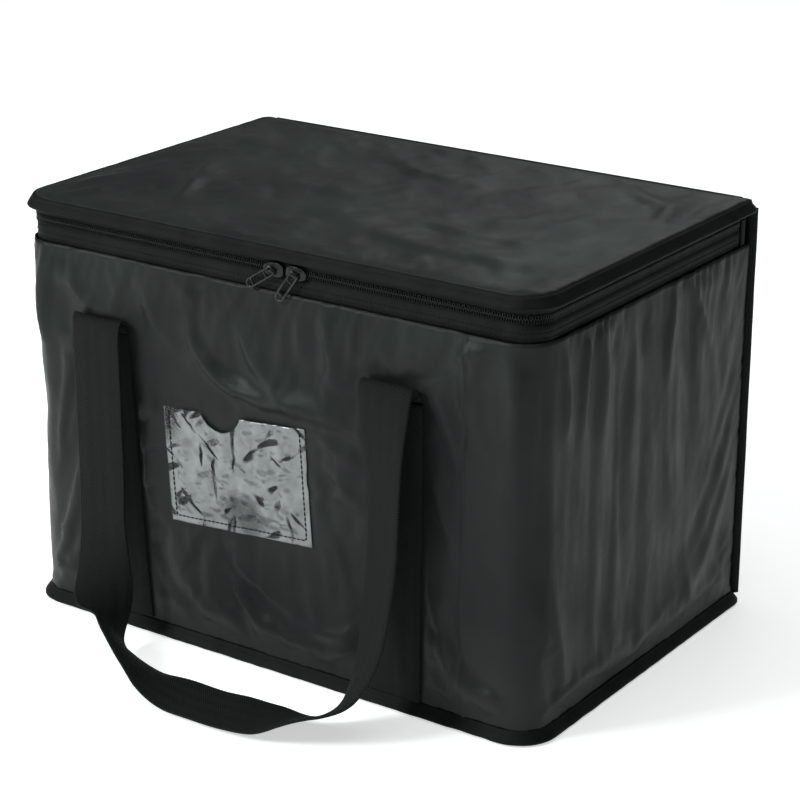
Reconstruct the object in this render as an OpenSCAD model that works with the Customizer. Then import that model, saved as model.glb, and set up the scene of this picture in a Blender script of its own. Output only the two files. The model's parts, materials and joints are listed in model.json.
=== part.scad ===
// Insulated food carrier: a soft box of woven fabric over foam, with a zipped lid and two webbing handles.
// X runs right along the front, Y towards the back, Z up. The origin is the middle of the footprint.

/* [Body] */
// Width of the bag across the front
body_w = 390; // [320:5:440]
// Depth of the bag from front to back
body_d = 260; // [220:5:300]
// Height of the lid's top surface above the floor
body_h = 281; // [270:1:320]
// Radius of the soft front corners, seen from above
front_r = 20; // [16:1:28]
// Radius of the sewn back corners, seen from above
back_r = 8; // [7:1:12]

/* [Layers] */
// Thickness of the woven outer fabric
fabric_t = 0.8; // [0.6:0.1:1.0]
// Thickness of each foam sheet
foam_t = 5; // [4:0.5:5.5]
// Thickness of the foil-faced liner
liner_t = 0.4; // [0.3:0.1:0.6]
// Height of the woven wall, up to the zipper tape's seam
wall_h = 254; // [246:1:256]

/* [Seams] */
// How far a bound seam stands out from the wall
binding_w = 8.4; // [6:0.2:10]
// Width of the upright bound seams at the back corners
upright_w = 7; // [5:0.5:9]
// Thickness of the folded binding
binding_t = 2.4; // [1.8:0.1:3]
// Radius of the piping in the lid's hinge seam
piping_r = 1.2; // [0.8:0.1:1.3]

/* [Zipper] */
// Height of the line where the two coils meet
zip_z = 267; // [266:0.5:268]
// Height of each coil row
coil_h = 2.4; // [2:0.1:2.6]
// Depth of each coil row, front to back
coil_t = 2; // [1.6:0.1:2.4]
// Gap between the two coil rows
coil_gap = 1.2; // [1:0.1:1.4]
// Thickness of the zipper tape
tape_t = 0.6; // [0.4:0.1:0.8]
// Length of each slider
slider_l = 15; // [12:0.5:16]
// Height of each slider's face
slider_h = 9; // [8:0.5:10]
// Length of each pull, from its eye to its tip
pull_l = 22; // [18:1:26]
// Width of each pull
pull_w = 6.8; // [6.6:0.2:7.4]

/* [Card pocket] */
// Width of the clear pocket
pocket_w = 112; // [90:1:120]
// Height of the clear pocket
pocket_h = 77; // [60:1:84]
// Thickness of the pocket's film
pocket_t = 0.5; // [0.3:0.1:0.8]
// Tilt of the pocket, right side up
pocket_tilt = 4; // [0:1:6]
// Radius of the thumb notch
notch_r = 17; // [12:1:20]

/* [Webbing] */
// Width of the webbing
web_w = 38; // [30:1:40]
// Thickness of the webbing
web_t = 1.8; // [1.2:0.1:2.2]
// Height of the sewn webbing's top end
web_top = 203; // [190:1:203]

/* [Hidden] */
$fn = 48;
eps = 0.01;

cloth = "#1c1e1f";
foil = "#b9bdc0";
foam_white = "#e8e8e4";
webbing = "#161717";
zip_black = "#101112";
film = "#9aa0a2";

half_w = body_w / 2;
half_d = body_d / 2;
liner_in = fabric_t + foam_t;         // inset of the liner's outer face
cavity_in = liner_in + liner_t;       // inset of the liner's inner face
floor_z = fabric_t + foam_t;          // top of the bottom foam
seam_z = 9;                           // top of the bottom seam
foam_top = wall_h - 4.5;              // foam stops under the tape's seam
back_top = body_h - 9;                // the back's foam stands higher, up to the hinge
panel_z = body_h - fabric_t;          // underside of the lid's top fabric
hinge_y = half_d - 0.4;               // the hinge line runs in the middle of the piping
hinge_z = panel_z;
hinge_clear = piping_r + 0.4;         // the lid's back edge stops this far in front of the hinge
lid_back = hinge_y - hinge_clear;
corner_y = half_d - back_r;           // where the side walls meet the back corners
coil_low = zip_z - coil_gap / 2 - coil_h;
coil_high = zip_z + coil_gap / 2 + coil_h;
coil_in = 0.2;                        // inset of the coils' outer face
zip_back = corner_y - 8;              // the zipper ends here on both sides
face_y = -half_d;                     // the front wall's outer face
slider_y = face_y - 0.4;              // back of a slider's front plate
bail_gap = 3;                         // room between the slider and its bail
pivot_y = slider_y - 1.4 - bail_gap / 2;
slider_x = [9, 26];                   // where the sliders stand at rest
pull_drop = [33, 54];                 // how far each pull hangs below level
pocket_x = -22;
pocket_z = 127;

// Outline of the bag seen from above, inset by i
module outline(i) {
    w = half_w - i;
    d = half_d - i;
    f = front_r - i;
    b = max(back_r - i, 0.6);
    polygon([[-w + f, -d], [w - f, -d], [w, -d + f], [w, d - b],
             [w - b, d], [-w + b, d], [-w, d - b], [-w, -d + f]]);
    for (s = [-1, 1]) {
        translate([s * (w - f), -d + f]) circle(r = f);
        translate([s * (w - b), d - b]) circle(r = b);
    }
}

// Upright band that follows the outline, between two insets and two heights
module ring(outer, inner, z0, z1) {
    translate([0, 0, z0]) linear_extrude(z1 - z0) difference() {
        outline(outer);
        outline(inner);
    }
}

// The part of a ring in front of a line across the bag: left side, front and right side
module open_ring(outer, inner, z0, z1, y_end) {
    intersection() {
        ring(outer, inner, z0, z1);
        translate([-body_w, -body_d, z0 - 1]) cube([2 * body_w, body_d + y_end, z1 - z0 + 2]);
    }
}

// Flat sheet with the bag's outline
module sheet(i, z0, z1) {
    translate([0, 0, z0]) linear_extrude(z1 - z0) outline(i);
}

// ---- woven shell ----

module outer_wrap() {
    color(cloth) open_ring(0, fabric_t, fabric_t, wall_h, corner_y);
}

module outer_back() {
    color(cloth) intersection() {
        ring(0, fabric_t, fabric_t, hinge_z - piping_r);
        translate([-half_w, corner_y, 0]) cube([body_w, back_r, body_h]);
    }
}

module outer_bottom() {
    color(cloth) sheet(0, 0, fabric_t);
}

// ---- foam and liner ----

module foam_front() {
    w = half_w - front_r;
    color(foam_white) translate([-w, face_y + fabric_t, floor_z])
        cube([2 * w, foam_t, foam_top - floor_z]);
}

module foam_side(side) {
    x = side > 0 ? half_w - fabric_t - foam_t : -half_w + fabric_t;
    color(foam_white) translate([x, face_y + front_r, floor_z])
        cube([foam_t, corner_y + half_d - front_r, foam_top - floor_z]);
}

module foam_back() {
    w = half_w - back_r;
    color(foam_white) translate([-w, half_d - liner_in, floor_z])
        cube([2 * w, foam_t, back_top - floor_z]);
}

module foam_bottom() {
    color(foam_white) sheet(fabric_t, fabric_t, floor_z);
}

module liner_wrap() {
    color(foil) open_ring(liner_in, cavity_in, floor_z + liner_t, foam_top, half_d - cavity_in);
}

module liner_back() {
    w = half_w - liner_in - 2;
    color(foil) translate([-w, half_d - cavity_in, floor_z + liner_t])
        cube([2 * w, liner_t, back_top - floor_z - liner_t]);
}

module liner_bottom() {
    color(foil) sheet(liner_in, floor_z, floor_z + liner_t);
}

module rim_binding() {
    color(cloth) open_ring(fabric_t + tape_t, cavity_in, foam_top, foam_top + 2, corner_y);
}

// ---- bound seams ----

// Section of a drooping bound seam, out from the wall's face; root is where it starts
module binding_section(z_in, z_out, root) {
    polygon([[root, z_in - 3], [binding_w - 1.3, z_out - 1.1],
             [binding_w, z_out + 1.2], [root, z_in]]);
}

// A bound seam along the left side, the front and the right side, from y_end at the back
module binding_run(z_in, z_out, root, y_end) {
    side_l = y_end + half_d - front_r;
    for (s = [-1, 1]) {
        translate([s * half_w, 0, 0]) mirror([s < 0 ? 1 : 0, 0, 0]) translate([0, y_end, 0])
            rotate([90, 0, 0]) linear_extrude(side_l) binding_section(z_in, z_out, root);
        translate([s * (half_w - front_r), face_y + front_r, 0])
            rotate([0, 0, s > 0 ? -90 : 180]) rotate_extrude(angle = 90)
                translate([front_r, 0]) binding_section(z_in, z_out, root);
    }
    translate([-half_w + front_r, face_y, 0]) rotate([90, 0, 90])
        linear_extrude(body_w - 2 * front_r) mirror([1, 0]) binding_section(z_in, z_out, root);
}

// The same seam across the back, with its two corners
module binding_back(z_in, z_out, root) {
    for (s = [-1, 1])
        translate([s * (half_w - back_r), corner_y, 0])
            rotate([0, 0, s > 0 ? 0 : 90]) rotate_extrude(angle = 90)
                translate([back_r, 0]) binding_section(z_in, z_out, root);
    translate([-half_w + back_r, half_d, 0]) rotate([90, 0, 90])
        linear_extrude(body_w - 2 * back_r) binding_section(z_in, z_out, root);
}

module bottom_binding() {
    color(cloth) {
        binding_run(seam_z, seam_z - 7.6, 0, corner_y);
        binding_back(seam_z, seam_z - 7.6, 0);
    }
}

// Upright bound seam that points out of a back corner
module upright_binding(side) {
    color(cloth) translate([side * (half_w - back_r), corner_y, seam_z + 1])
        rotate([0, 0, side > 0 ? 45 : 135]) translate([back_r, -binding_t / 2, 0])
            cube([upright_w, binding_t, back_top - seam_z - 1]);
}

module hinge_piping() {
    color(cloth) translate([-half_w + back_r, hinge_y, hinge_z])
        rotate([0, 90, 0]) cylinder(h = body_w - 2 * back_r, r = piping_r);
}

// ---- zipper ----

module zipper_tape_lower() {
    color(zip_black) open_ring(fabric_t, fabric_t + tape_t, foam_top, coil_low, zip_back);
}

module zipper_coil_lower() {
    color(zip_black) open_ring(coil_in, coil_in + coil_t, coil_low, coil_low + coil_h, zip_back);
}

module zipper_tape_upper() {
    color(zip_black) open_ring(fabric_t, fabric_t + tape_t, coil_high, panel_z, zip_back);
}

module zipper_coil_upper() {
    color(zip_black) open_ring(coil_in, coil_in + coil_t, coil_high - coil_h, coil_high, zip_back);
}

// Folded tab that closes the zipper at a back corner; it stands on the side wall
module zipper_end(side) {
    x = side > 0 ? half_w - fabric_t - tape_t : -half_w + fabric_t;
    color(zip_black) translate([x, zip_back + 1, wall_h - 3]) cube([tape_t, 5, zip_z - wall_h + 3]);
    color(zip_black) translate([side * (half_w - 0.9) - 0.9, zip_back + 1, coil_low - 1])
        cube([1.8, 4, coil_h + 2]);
}

// Slider with its front plate, back plate, the post between the coils, and the bail that holds the pull
module slider(x) {
    plate_t = 1.4;
    bail_l = 2.6;
    post_w = 0.6;
    wire_h = 0.9;
    bail_y = slider_y - plate_t - bail_gap;
    color(zip_black) translate([x, 0, zip_z]) {
        translate([-slider_l / 2, slider_y - plate_t, -slider_h / 2]) cube([slider_l, plate_t, slider_h]);
        translate([-2, slider_y - eps, -0.3]) cube([4, coil_t + 1.2, 0.6]);
        translate([-slider_l / 2, slider_y + coil_t + 1.1, -slider_h / 2 + 1])
            cube([slider_l, 1, slider_h - 2]);
        for (s = [-1, 1])
            translate([s * (bail_l - post_w / 2) - post_w / 2, bail_y - 1.1, -wire_h / 2])
                cube([post_w, bail_gap + 1.1 + eps, wire_h]);
        translate([-bail_l, bail_y - 1.1, -wire_h / 2]) cube([2 * bail_l, 1.1, wire_h]);
    }
}

// Pull with an eye at the slider's bail and a long open frame
module pull(x, drop) {
    rail = 0.7;
    eye_l = 5;
    t = 1.2;
    color(zip_black) translate([x, pivot_y, zip_z]) rotate([0, 180 - drop, 0]) {
        cylinder(h = pull_w, r = 0.45, center = true);
        for (s = [-1, 1])
            translate([0, -t / 2, s * (pull_w - rail) / 2 - rail / 2]) cube([eye_l, t, rail]);
        translate([eye_l - eps, 0, 0]) rotate([90, 0, 0]) difference() {
            union() {
                translate([0, -pull_w / 2, -t / 2]) cube([pull_l - eye_l - pull_w / 2, pull_w, t]);
                translate([pull_l - eye_l - pull_w / 2, 0, -t / 2]) cylinder(h = t, r = pull_w / 2);
            }
            translate([4, -1.4, -t]) cube([pull_l - eye_l - pull_w / 2 - 5, 2.8, 2 * t]);
        }
    }
}

// ---- card pocket ----

module on_pocket() {
    translate([pocket_x, face_y, pocket_z]) rotate([0, -pocket_tilt, 0]) children();
}

module card_pocket() {
    color(film, 0.6) on_pocket() difference() {
        translate([-pocket_w / 2, -pocket_t, -pocket_h / 2]) cube([pocket_w, pocket_t, pocket_h]);
        translate([-9, 1, pocket_h / 2 + 6]) rotate([90, 0, 0]) cylinder(h = 2, r = notch_r);
    }
}

// Dashes of thread along the pocket's left, lower and right edges
module pocket_stitching() {
    stitch = 3.2;
    pitch = 4.5;
    edge = 4;
    across = floor((pocket_w - 2 * edge) / pitch);
    up = floor((pocket_h - edge) / pitch);
    color(zip_black) on_pocket() {
        for (k = [1 : across - 1])
            translate([-pocket_w / 2 + edge + k * pitch, -pocket_t - 0.4, -pocket_h / 2 + edge])
                cube([stitch, 0.4, 0.5]);
        for (s = [-1, 1], k = [0 : up - 1])
            translate([s * (pocket_w / 2 - edge) - 0.25, -pocket_t - 0.4, -pocket_h / 2 + edge + k * pitch])
                cube([0.5, 0.4, stitch]);
    }
}

// ---- webbing ----

// Webbing sewn flat on the front, leaning so that its top end is shifted by lean
module sewn_webbing(x_low, lean) {
    z0 = seam_z + 1;
    run = web_top - z0;
    color(webbing) translate([x_low, face_y, z0]) rotate([0, atan(lean / run), 0])
        translate([-web_w / 2, -web_t, 0]) cube([web_w, web_t, run]);
}

// Middle line of the free handle and the direction across it, from the left top to the right top
handle_path = [
    [[-127, -133.6, 207], [1, 0, 0]], [[-126, -138, 212], [1, 0, 0]],
    [[-125, -142.6, 207], [1, 0, 0]], [[-124, -144, 182], [1, 0, 0]],
    [[-123, -145, 150], [1, 0, 0]], [[-121, -147, 110], [1, 0, 0]],
    [[-118, -151, 75], [1, 0, 0]], [[-113, -158, 48], [0.97, 0.2, -0.15]],
    [[-105, -168, 31], [0.7, 0.5, -0.5]], [[-93, -178, 21], [0.15, 0.58, -0.8]],
    [[-76, -187, 17], [-0.1, 0.75, -0.65]], [[-56, -194, 12], [-0.25, 0.9, -0.42]],
    [[-38, -198, 7], [-0.3, 0.95, -0.12]], [[-18, -200, 4], [-0.1, 1, 0.05]],
    [[5, -201, 4], [0, 1, 0.06]], [[28, -201, 5], [-0.15, 1, 0.1]],
    [[49, -199, 6], [-0.4, 0.9, 0]], [[69, -195, 10], [-0.55, 0.7, -0.35]],
    [[86, -187, 15], [-0.62, 0.6, -0.5]], [[97, -177, 26], [-0.7, 0.6, -0.42]],
    [[101, -165, 46], [-0.78, 0.54, -0.28]], [[101, -156, 75], [-0.83, 0.5, -0.12]],
    [[101, -150, 110], [-0.86, 0.47, -0.05]], [[100, -146, 150], [-0.88, 0.44, 0]],
    [[98, -144, 182], [-0.96, 0.25, 0]], [[98, -142.6, 209], [-1, 0, 0]],
    [[98, -138, 214], [-1, 0, 0]], [[98, -133.6, 209], [-1, 0, 0]]
];

function unit(v) = v / norm(v);
function clampi(i) = max(0, min(len(handle_path) - 1, i));
// Smooth curve through the listed values: column 0 is the middle line, column 1 the width direction
function through(c, i, t) = let(
    a = handle_path[clampi(i - 1)][c], b = handle_path[i][c],
    d = handle_path[clampi(i + 1)][c], e = handle_path[clampi(i + 2)][c]
) 0.5 * (2 * b + (d - a) * t + (2 * a - 5 * b + 4 * d - e) * t * t + (3 * b - a - 3 * d + e) * t * t * t);
handle_steps = [for (i = [0 : len(handle_path) - 2], t = [0, 0.5]) [i, t], [len(handle_path) - 2, 1]];
handle_mid = [for (s = handle_steps) through(0, s[0], s[1])];
handle_across = [for (s = handle_steps) through(1, s[0], s[1])];
function along(i) = unit(handle_mid[min(i + 1, len(handle_mid) - 1)] - handle_mid[max(i - 1, 0)]);
// Four corners of the webbing at one step, kept just above the floor
function handle_ring(i) = let(
    t = along(i),
    w = unit(handle_across[i] - (handle_across[i] * t) * t) * web_w / 2,
    n = unit(cross(w, t)) * web_t / 2,
    lift = 0.3
) [for (c = [-w - n, w - n, w + n, -w + n])
    let(p = handle_mid[i] + c) [p.x, p.y, max(p.z, c * n > 0 && n.z > 0 || c * n < 0 && n.z < 0
        ? lift + web_t * 0.8 : lift)]];

module handle() {
    count = len(handle_mid);
    points = [for (i = [0 : count - 1]) each handle_ring(i)];
    faces = [
        [0, 1, 2], [0, 2, 3],
        for (i = [0 : count - 2], k = [0 : 3])
            let(a = 4 * i + k, b = 4 * i + (k + 1) % 4) each [[a, a + 4, b + 4], [a, b + 4, b]],
        [4 * count - 1, 4 * count - 2, 4 * count - 3], [4 * count - 1, 4 * count - 3, 4 * count - 4]
    ];
    color(webbing) polyhedron(points, faces);
}

// ---- lid ----

module lid_cut() {
    intersection() {
        children();
        translate([-body_w, -body_d, 0]) cube([2 * body_w, body_d + lid_back, 2 * body_h]);
    }
}

module lid_panel() {
    color(cloth) lid_cut() sheet(0, panel_z, body_h);
}

module lid_foam() {
    color(foam_white) lid_cut() sheet(fabric_t + tape_t, panel_z - foam_t, panel_z);
}

module lid_liner() {
    color(foil) lid_cut() sheet(fabric_t + tape_t, panel_z - foam_t - liner_t, panel_z - foam_t);
}

module lid_binding() {
    color(cloth) binding_run(panel_z, panel_z - 5.6, -fabric_t, corner_y - 2);
}

outer_wrap();
outer_back();
outer_bottom();
foam_front();
foam_side(-1);  // foam_left
foam_side(1);  // foam_right
foam_back();
foam_bottom();
liner_wrap();
liner_back();
liner_bottom();
rim_binding();
bottom_binding();
upright_binding(-1);  // back_left_binding
upright_binding(1);  // back_right_binding
hinge_piping();
zipper_tape_lower();
zipper_coil_lower();
zipper_end(-1);  // zipper_end_left
zipper_end(1);  // zipper_end_right
card_pocket();
pocket_stitching();
sewn_webbing(-114, -13);  // webbing_front_left
sewn_webbing(98, 1);  // webbing_front_right
rotate([0, 0, 180]) sewn_webbing(98, 1);  // webbing_back_left
rotate([0, 0, 180]) sewn_webbing(-114, -13);  // webbing_back_right
lid_panel();
lid_foam();
lid_liner();
lid_binding();
zipper_tape_upper();
zipper_coil_upper();
slider(slider_x[0]);  // slider_left
slider(slider_x[1]);  // slider_right
pull(slider_x[0], pull_drop[0]);  // pull_left
pull(slider_x[1], pull_drop[1]);  // pull_right
handle();  // front_handle
rotate([0, 0, 180]) handle();  // back_handle
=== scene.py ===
import json
import math

import bpy
import numpy as np
from mathutils import Matrix, Vector


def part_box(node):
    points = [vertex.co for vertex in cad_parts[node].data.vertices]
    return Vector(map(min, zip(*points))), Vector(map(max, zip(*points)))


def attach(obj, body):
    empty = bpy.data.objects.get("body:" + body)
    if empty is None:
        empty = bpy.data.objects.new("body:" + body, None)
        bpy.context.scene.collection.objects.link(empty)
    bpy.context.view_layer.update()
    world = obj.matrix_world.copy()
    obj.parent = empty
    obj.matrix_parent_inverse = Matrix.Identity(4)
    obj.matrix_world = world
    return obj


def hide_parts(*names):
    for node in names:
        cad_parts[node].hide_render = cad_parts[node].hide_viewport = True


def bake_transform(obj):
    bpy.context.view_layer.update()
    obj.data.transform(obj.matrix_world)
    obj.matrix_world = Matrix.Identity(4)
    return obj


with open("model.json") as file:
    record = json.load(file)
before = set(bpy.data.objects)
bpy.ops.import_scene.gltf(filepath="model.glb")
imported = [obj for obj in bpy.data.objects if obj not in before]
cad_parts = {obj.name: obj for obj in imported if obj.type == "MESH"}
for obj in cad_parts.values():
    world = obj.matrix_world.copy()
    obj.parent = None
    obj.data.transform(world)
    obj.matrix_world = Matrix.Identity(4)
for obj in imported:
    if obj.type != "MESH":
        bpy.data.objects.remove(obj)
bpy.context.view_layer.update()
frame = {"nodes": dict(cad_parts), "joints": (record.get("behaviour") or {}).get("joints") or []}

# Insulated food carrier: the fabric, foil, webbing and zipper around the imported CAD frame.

MM = 0.001

# ---------------------------------------------------------------- sizes, from the frame
wrap_lo, wrap_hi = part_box("outer_wrap")
back_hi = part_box("outer_back")[1]
panel_lo, panel_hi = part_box("lid_panel")
coil_low_lo, coil_low_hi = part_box("zipper_coil_lower")
coil_up_lo, coil_up_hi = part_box("zipper_coil_upper")
HALF_W = wrap_hi[0]
FRONT_Y = wrap_lo[1]
BACK_Y = back_hi[1]
WALL_TOP = wrap_hi[2]
LID_BACK = panel_hi[1]
FRONT_R = 20 * MM
BACK_R = 8 * MM
SEAM_Z = 8 * MM
ZIP_Z = (coil_low_hi[2] + coil_up_lo[2]) / 2
ZIP_BACK = coil_low_hi[1]
JOINT = {j["name"]: j for j in frame["joints"]}


# ---------------------------------------------------------------- small maths
def gradient_noise(x, y, seed):
    """Smooth noise between about -1 and 1 over two arrays of coordinates."""
    angle = np.random.RandomState(seed).rand(64, 64) * 2 * np.pi
    gx, gy = np.cos(angle), np.sin(angle)
    xi, yi = np.floor(x).astype(int), np.floor(y).astype(int)
    fx, fy = x - xi, y - yi
    ease = lambda t: t * t * t * (t * (t * 6 - 15) + 10)

    def corner(i, j):
        a, b = (xi + i) % 64, (yi + j) % 64
        return gx[a, b] * (fx - i) + gy[a, b] * (fy - j)

    ux, uy = ease(fx), ease(fy)
    low = corner(0, 0) * (1 - ux) + corner(1, 0) * ux
    high = corner(0, 1) * (1 - ux) + corner(1, 1) * ux
    return 1.5 * (low * (1 - uy) + high * uy)


def fractal(x, y, seed, octaves=3):
    return sum(gradient_noise(x * 2 ** k, y * 2 ** k, seed + k) / 2 ** k for k in range(octaves))


def step_between(a, b, x):
    """0 below a, 1 above b, smooth in between; a may be the larger."""
    t = np.clip((x - a) / (b - a), 0, 1)
    return t * t * (3 - 2 * t)


def triples(x, y, z):
    """Numbers or arrays put together as rows of three."""
    return np.stack(np.broadcast_arrays(x, y, z), -1).astype(float)


def unit(v):
    return v / np.maximum(np.linalg.norm(v, axis=-1, keepdims=True), 1e-12)


def run_of(path):
    """Distance along a path, at each of its points."""
    return np.concatenate([[0], np.cumsum(np.linalg.norm(np.diff(path, axis=0), axis=1))])


def circle(steps, wide=1.0, high=None):
    """Points round a circle, or round an ellipse."""
    high = wide if high is None else high
    turn = np.linspace(0, 2 * math.pi, steps, endpoint=False)
    return [(wide * math.cos(a), high * math.sin(a)) for a in turn]


def smooth_curve(points, per_span):
    """A Catmull-Rom curve through points, with per_span steps in each span."""
    p = np.array(points, float)
    p = np.vstack([2 * p[0] - p[1], p, 2 * p[-1] - p[-2]])
    out = []
    for i in range(1, len(p) - 2):
        a, b, c, d = p[i - 1], p[i], p[i + 1], p[i + 2]
        for k in range(per_span):
            t = k / per_span
            out.append(0.5 * (2 * b + (c - a) * t + (2 * a - 5 * b + 4 * c - d) * t * t
                              + (3 * b - a - 3 * c + d) * t ** 3))
    out.append(p[-2])
    return np.array(out)


def fold(x, z, points, width, rib_height_and_groove_shade, sharp=0.35):
    """One soft fold along a curve on a panel: a ridge (or a valley, with a negative height)
    that fades out at both ends and is steeper on one side. points, width and height are in
    millimetres."""
    curve = smooth_curve(points, 6) * MM
    width = width * MM
    reach = np.full(x.shape, 1e9)
    place = np.zeros(x.shape)
    turn = np.zeros(x.shape)
    n = len(curve) - 1
    for i in range(n):
        ax, az = curve[i]
        dx, dz = curve[i + 1] - curve[i]
        t = np.clip(((x - ax) * dx + (z - az) * dz) / (dx * dx + dz * dz), 0, 1)
        d = np.hypot(x - ax - t * dx, z - az - t * dz)
        near = d < reach
        reach = np.where(near, d, reach)
        place = np.where(near, (i + t) / n, place)
        turn = np.where(near, np.sign(dx * (z - az) - dz * (x - ax)), turn)
    taper = np.sin(np.pi * np.clip(place, 0.04, 0.96)) ** 0.7
    u = reach / width * np.where(turn > 0, 0.7, 1.45)
    profile = (1 - sharp) * np.exp(-u * u) + sharp * np.exp(-np.sqrt(u * u + 0.02) * 1.6)
    return rib_height_and_groove_shade * MM * taper * profile


# ---------------------------------------------------------------- the bag's outline
def outline(s, inset=0.0):
    """Points round the bag at height 0, at distance s from the middle of the front, positive to the
    right, and the outward normal there."""
    s = np.asarray(s, float)
    a, sign = np.abs(s), np.sign(s) + (s == 0)
    front = HALF_W - FRONT_R
    side = BACK_Y - BACK_R - FRONT_Y - FRONT_R
    arc1, arc2 = FRONT_R * math.pi / 2, BACK_R * math.pi / 2
    e1, e2, e3 = front + arc1, front + arc1 + side, front + arc1 + side + arc2
    t1 = np.clip((a - front) / arc1, 0, 1) * math.pi / 2
    t2 = np.clip((a - e2) / arc2, 0, 1) * math.pi / 2
    nx = np.sin(t1) * np.cos(t2)
    ny = -np.cos(t1) + np.sin(t2)
    x = np.where(a < front, a, front) + FRONT_R * np.sin(t1)
    y = FRONT_Y + FRONT_R * (1 - np.cos(t1)) + np.clip(a - e1, 0, side)
    x = x - BACK_R * (1 - np.cos(t2)) - np.clip(a - e3, 0, None)
    y = y + BACK_R * np.sin(t2)
    length = np.hypot(nx, ny)
    nx, ny = nx / length, ny / length
    return sign * (x - inset * nx), y - inset * ny, sign * nx, ny


SIDE_RUN = HALF_W - FRONT_R + FRONT_R * math.pi / 2 + (BACK_Y - BACK_R - FRONT_Y - FRONT_R)
SEAM_RUN = SIDE_RUN + BACK_R * math.pi / 4
HALF_RUN = SIDE_RUN + BACK_R * math.pi / 2 + HALF_W - BACK_R
FRONT_RUN = HALF_W - FRONT_R


# ---------------------------------------------------------------- mesh builders
def add_object(name, verts, faces, weave=None, smooth=True):
    mesh = bpy.data.meshes.new(name)
    mesh.from_pydata([tuple(v) for v in verts], [], [tuple(int(i) for i in f) for f in faces])
    mesh.update()
    if smooth:
        mesh.polygons.foreach_set("use_smooth", [True] * len(mesh.polygons))
    if weave is not None:
        layer = mesh.attributes.new("weave", "FLOAT_VECTOR", "POINT")
        layer.data.foreach_set("vector", np.asarray(weave, float).ravel())
    obj = bpy.data.objects.new(name, mesh)
    bpy.context.scene.collection.objects.link(obj)
    return obj


def grid_normals(p, closed_u=False):
    along = np.roll(p, -1, 0) - np.roll(p, 1, 0) if closed_u else np.gradient(p, axis=0)
    return unit(np.cross(along, np.gradient(p, axis=1)))


def grid_faces(m, n, closed_u=False, closed_v=False, start=0, flip=False):
    i = np.arange(m if closed_u else m - 1)[:, None]
    j = np.arange(n if closed_v else n - 1)[None, :]
    i2, j2 = (i + 1) % m, (j + 1) % n
    quad = np.stack(np.broadcast_arrays(i * n + j, i2 * n + j, i2 * n + j2, i * n + j2), -1).reshape(-1, 4)
    return (quad[:, ::-1] if flip else quad) + start


def tube_faces(m, k, start=0, flip=False):
    """Faces of a tube of m rings of k points, with both its ends capped."""
    faces = [tuple(f) for f in grid_faces(m, k, closed_v=True, start=start, flip=flip)]
    caps = [tuple(range(start, start + k)), tuple(range(start + m * k - 1, start + m * k - k - 1, -1))]
    return faces + [c[::-1] if flip else c for c in caps]


def shell(name, p, thickness, weave_u, weave_v, closed_u=False):
    """A sheet of real thickness from a grid of points on its outer face. The thickness goes against
    the grid's normals. weave_u and weave_v are the grid's places on the flat cloth."""
    m, n = p.shape[:2]
    normal = grid_normals(p, closed_u)
    inner = p - normal * thickness
    verts = np.concatenate([p.reshape(-1, 3), inner.reshape(-1, 3)])
    faces = [grid_faces(m, n, closed_u), grid_faces(m, n, closed_u, start=m * n, flip=True)]
    edge = []
    if closed_u:
        loops = [([i * n for i in range(m)], True), ([i * n + n - 1 for i in range(m)], False)]
        for ids, forward in loops:
            for k in range(m):
                a, b = ids[k], ids[(k + 1) % m]
                quad = (a, a + m * n, b + m * n, b)
                edge.append(quad if forward else quad[::-1])
    else:
        ring = ([i * n for i in range(m)] + [(m - 1) * n + j for j in range(1, n)]
                + [i * n + n - 1 for i in range(m - 2, -1, -1)] + list(range(n - 2, 0, -1)))
        for k, a in enumerate(ring):
            b = ring[(k + 1) % len(ring)]
            edge.append((b, a, a + m * n, b + m * n))
    faces.append(np.array(edge))
    flat = np.stack([weave_u, weave_v, np.zeros_like(weave_u)], -1).reshape(-1, 3)
    return add_object(name, verts, np.concatenate(faces), np.concatenate([flat, flat]))


def sweep(name, centre, across, up, section, closed=False, along=None):
    """A solid with the same closed section (a list of (across, up) pairs, or one list per step)
    carried along a path. across and up are one direction each, or one for each step."""
    m = len(centre)
    across, up = np.broadcast_to(across, (m, 3)), np.broadcast_to(up, (m, 3))
    section = np.asarray(section, float)
    if section.ndim == 2:
        section = np.repeat(section[None], m, 0)
    k = section.shape[1]
    p = centre[:, None] + section[..., :1] * across[:, None] + section[..., 1:2] * up[:, None]
    if along is None:
        along = run_of(centre)
    flat = np.stack([section[..., 0], np.repeat(along[:, None], k, 1), section[..., 1]], -1)
    faces = grid_faces(m, k, closed_u=True, closed_v=True) if closed else tube_faces(m, k)
    return add_object(name, p.reshape(-1, 3), faces, flat.reshape(-1, 3))


def round_section(width, thick, steps=5):
    """A flat band's section with round edges, as (across, up) pairs."""
    r = thick / 2
    half = width / 2 - r
    right = [(half + r * math.cos(a), r * math.sin(a)) for a in np.linspace(-math.pi / 2, math.pi / 2, steps)]
    left = [(-x, -y) for x, y in right]
    inner = np.linspace(half, -half, 6)[1:-1]
    return right + [(x, r) for x in inner] + left + [(-x, -r) for x in inner]


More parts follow.
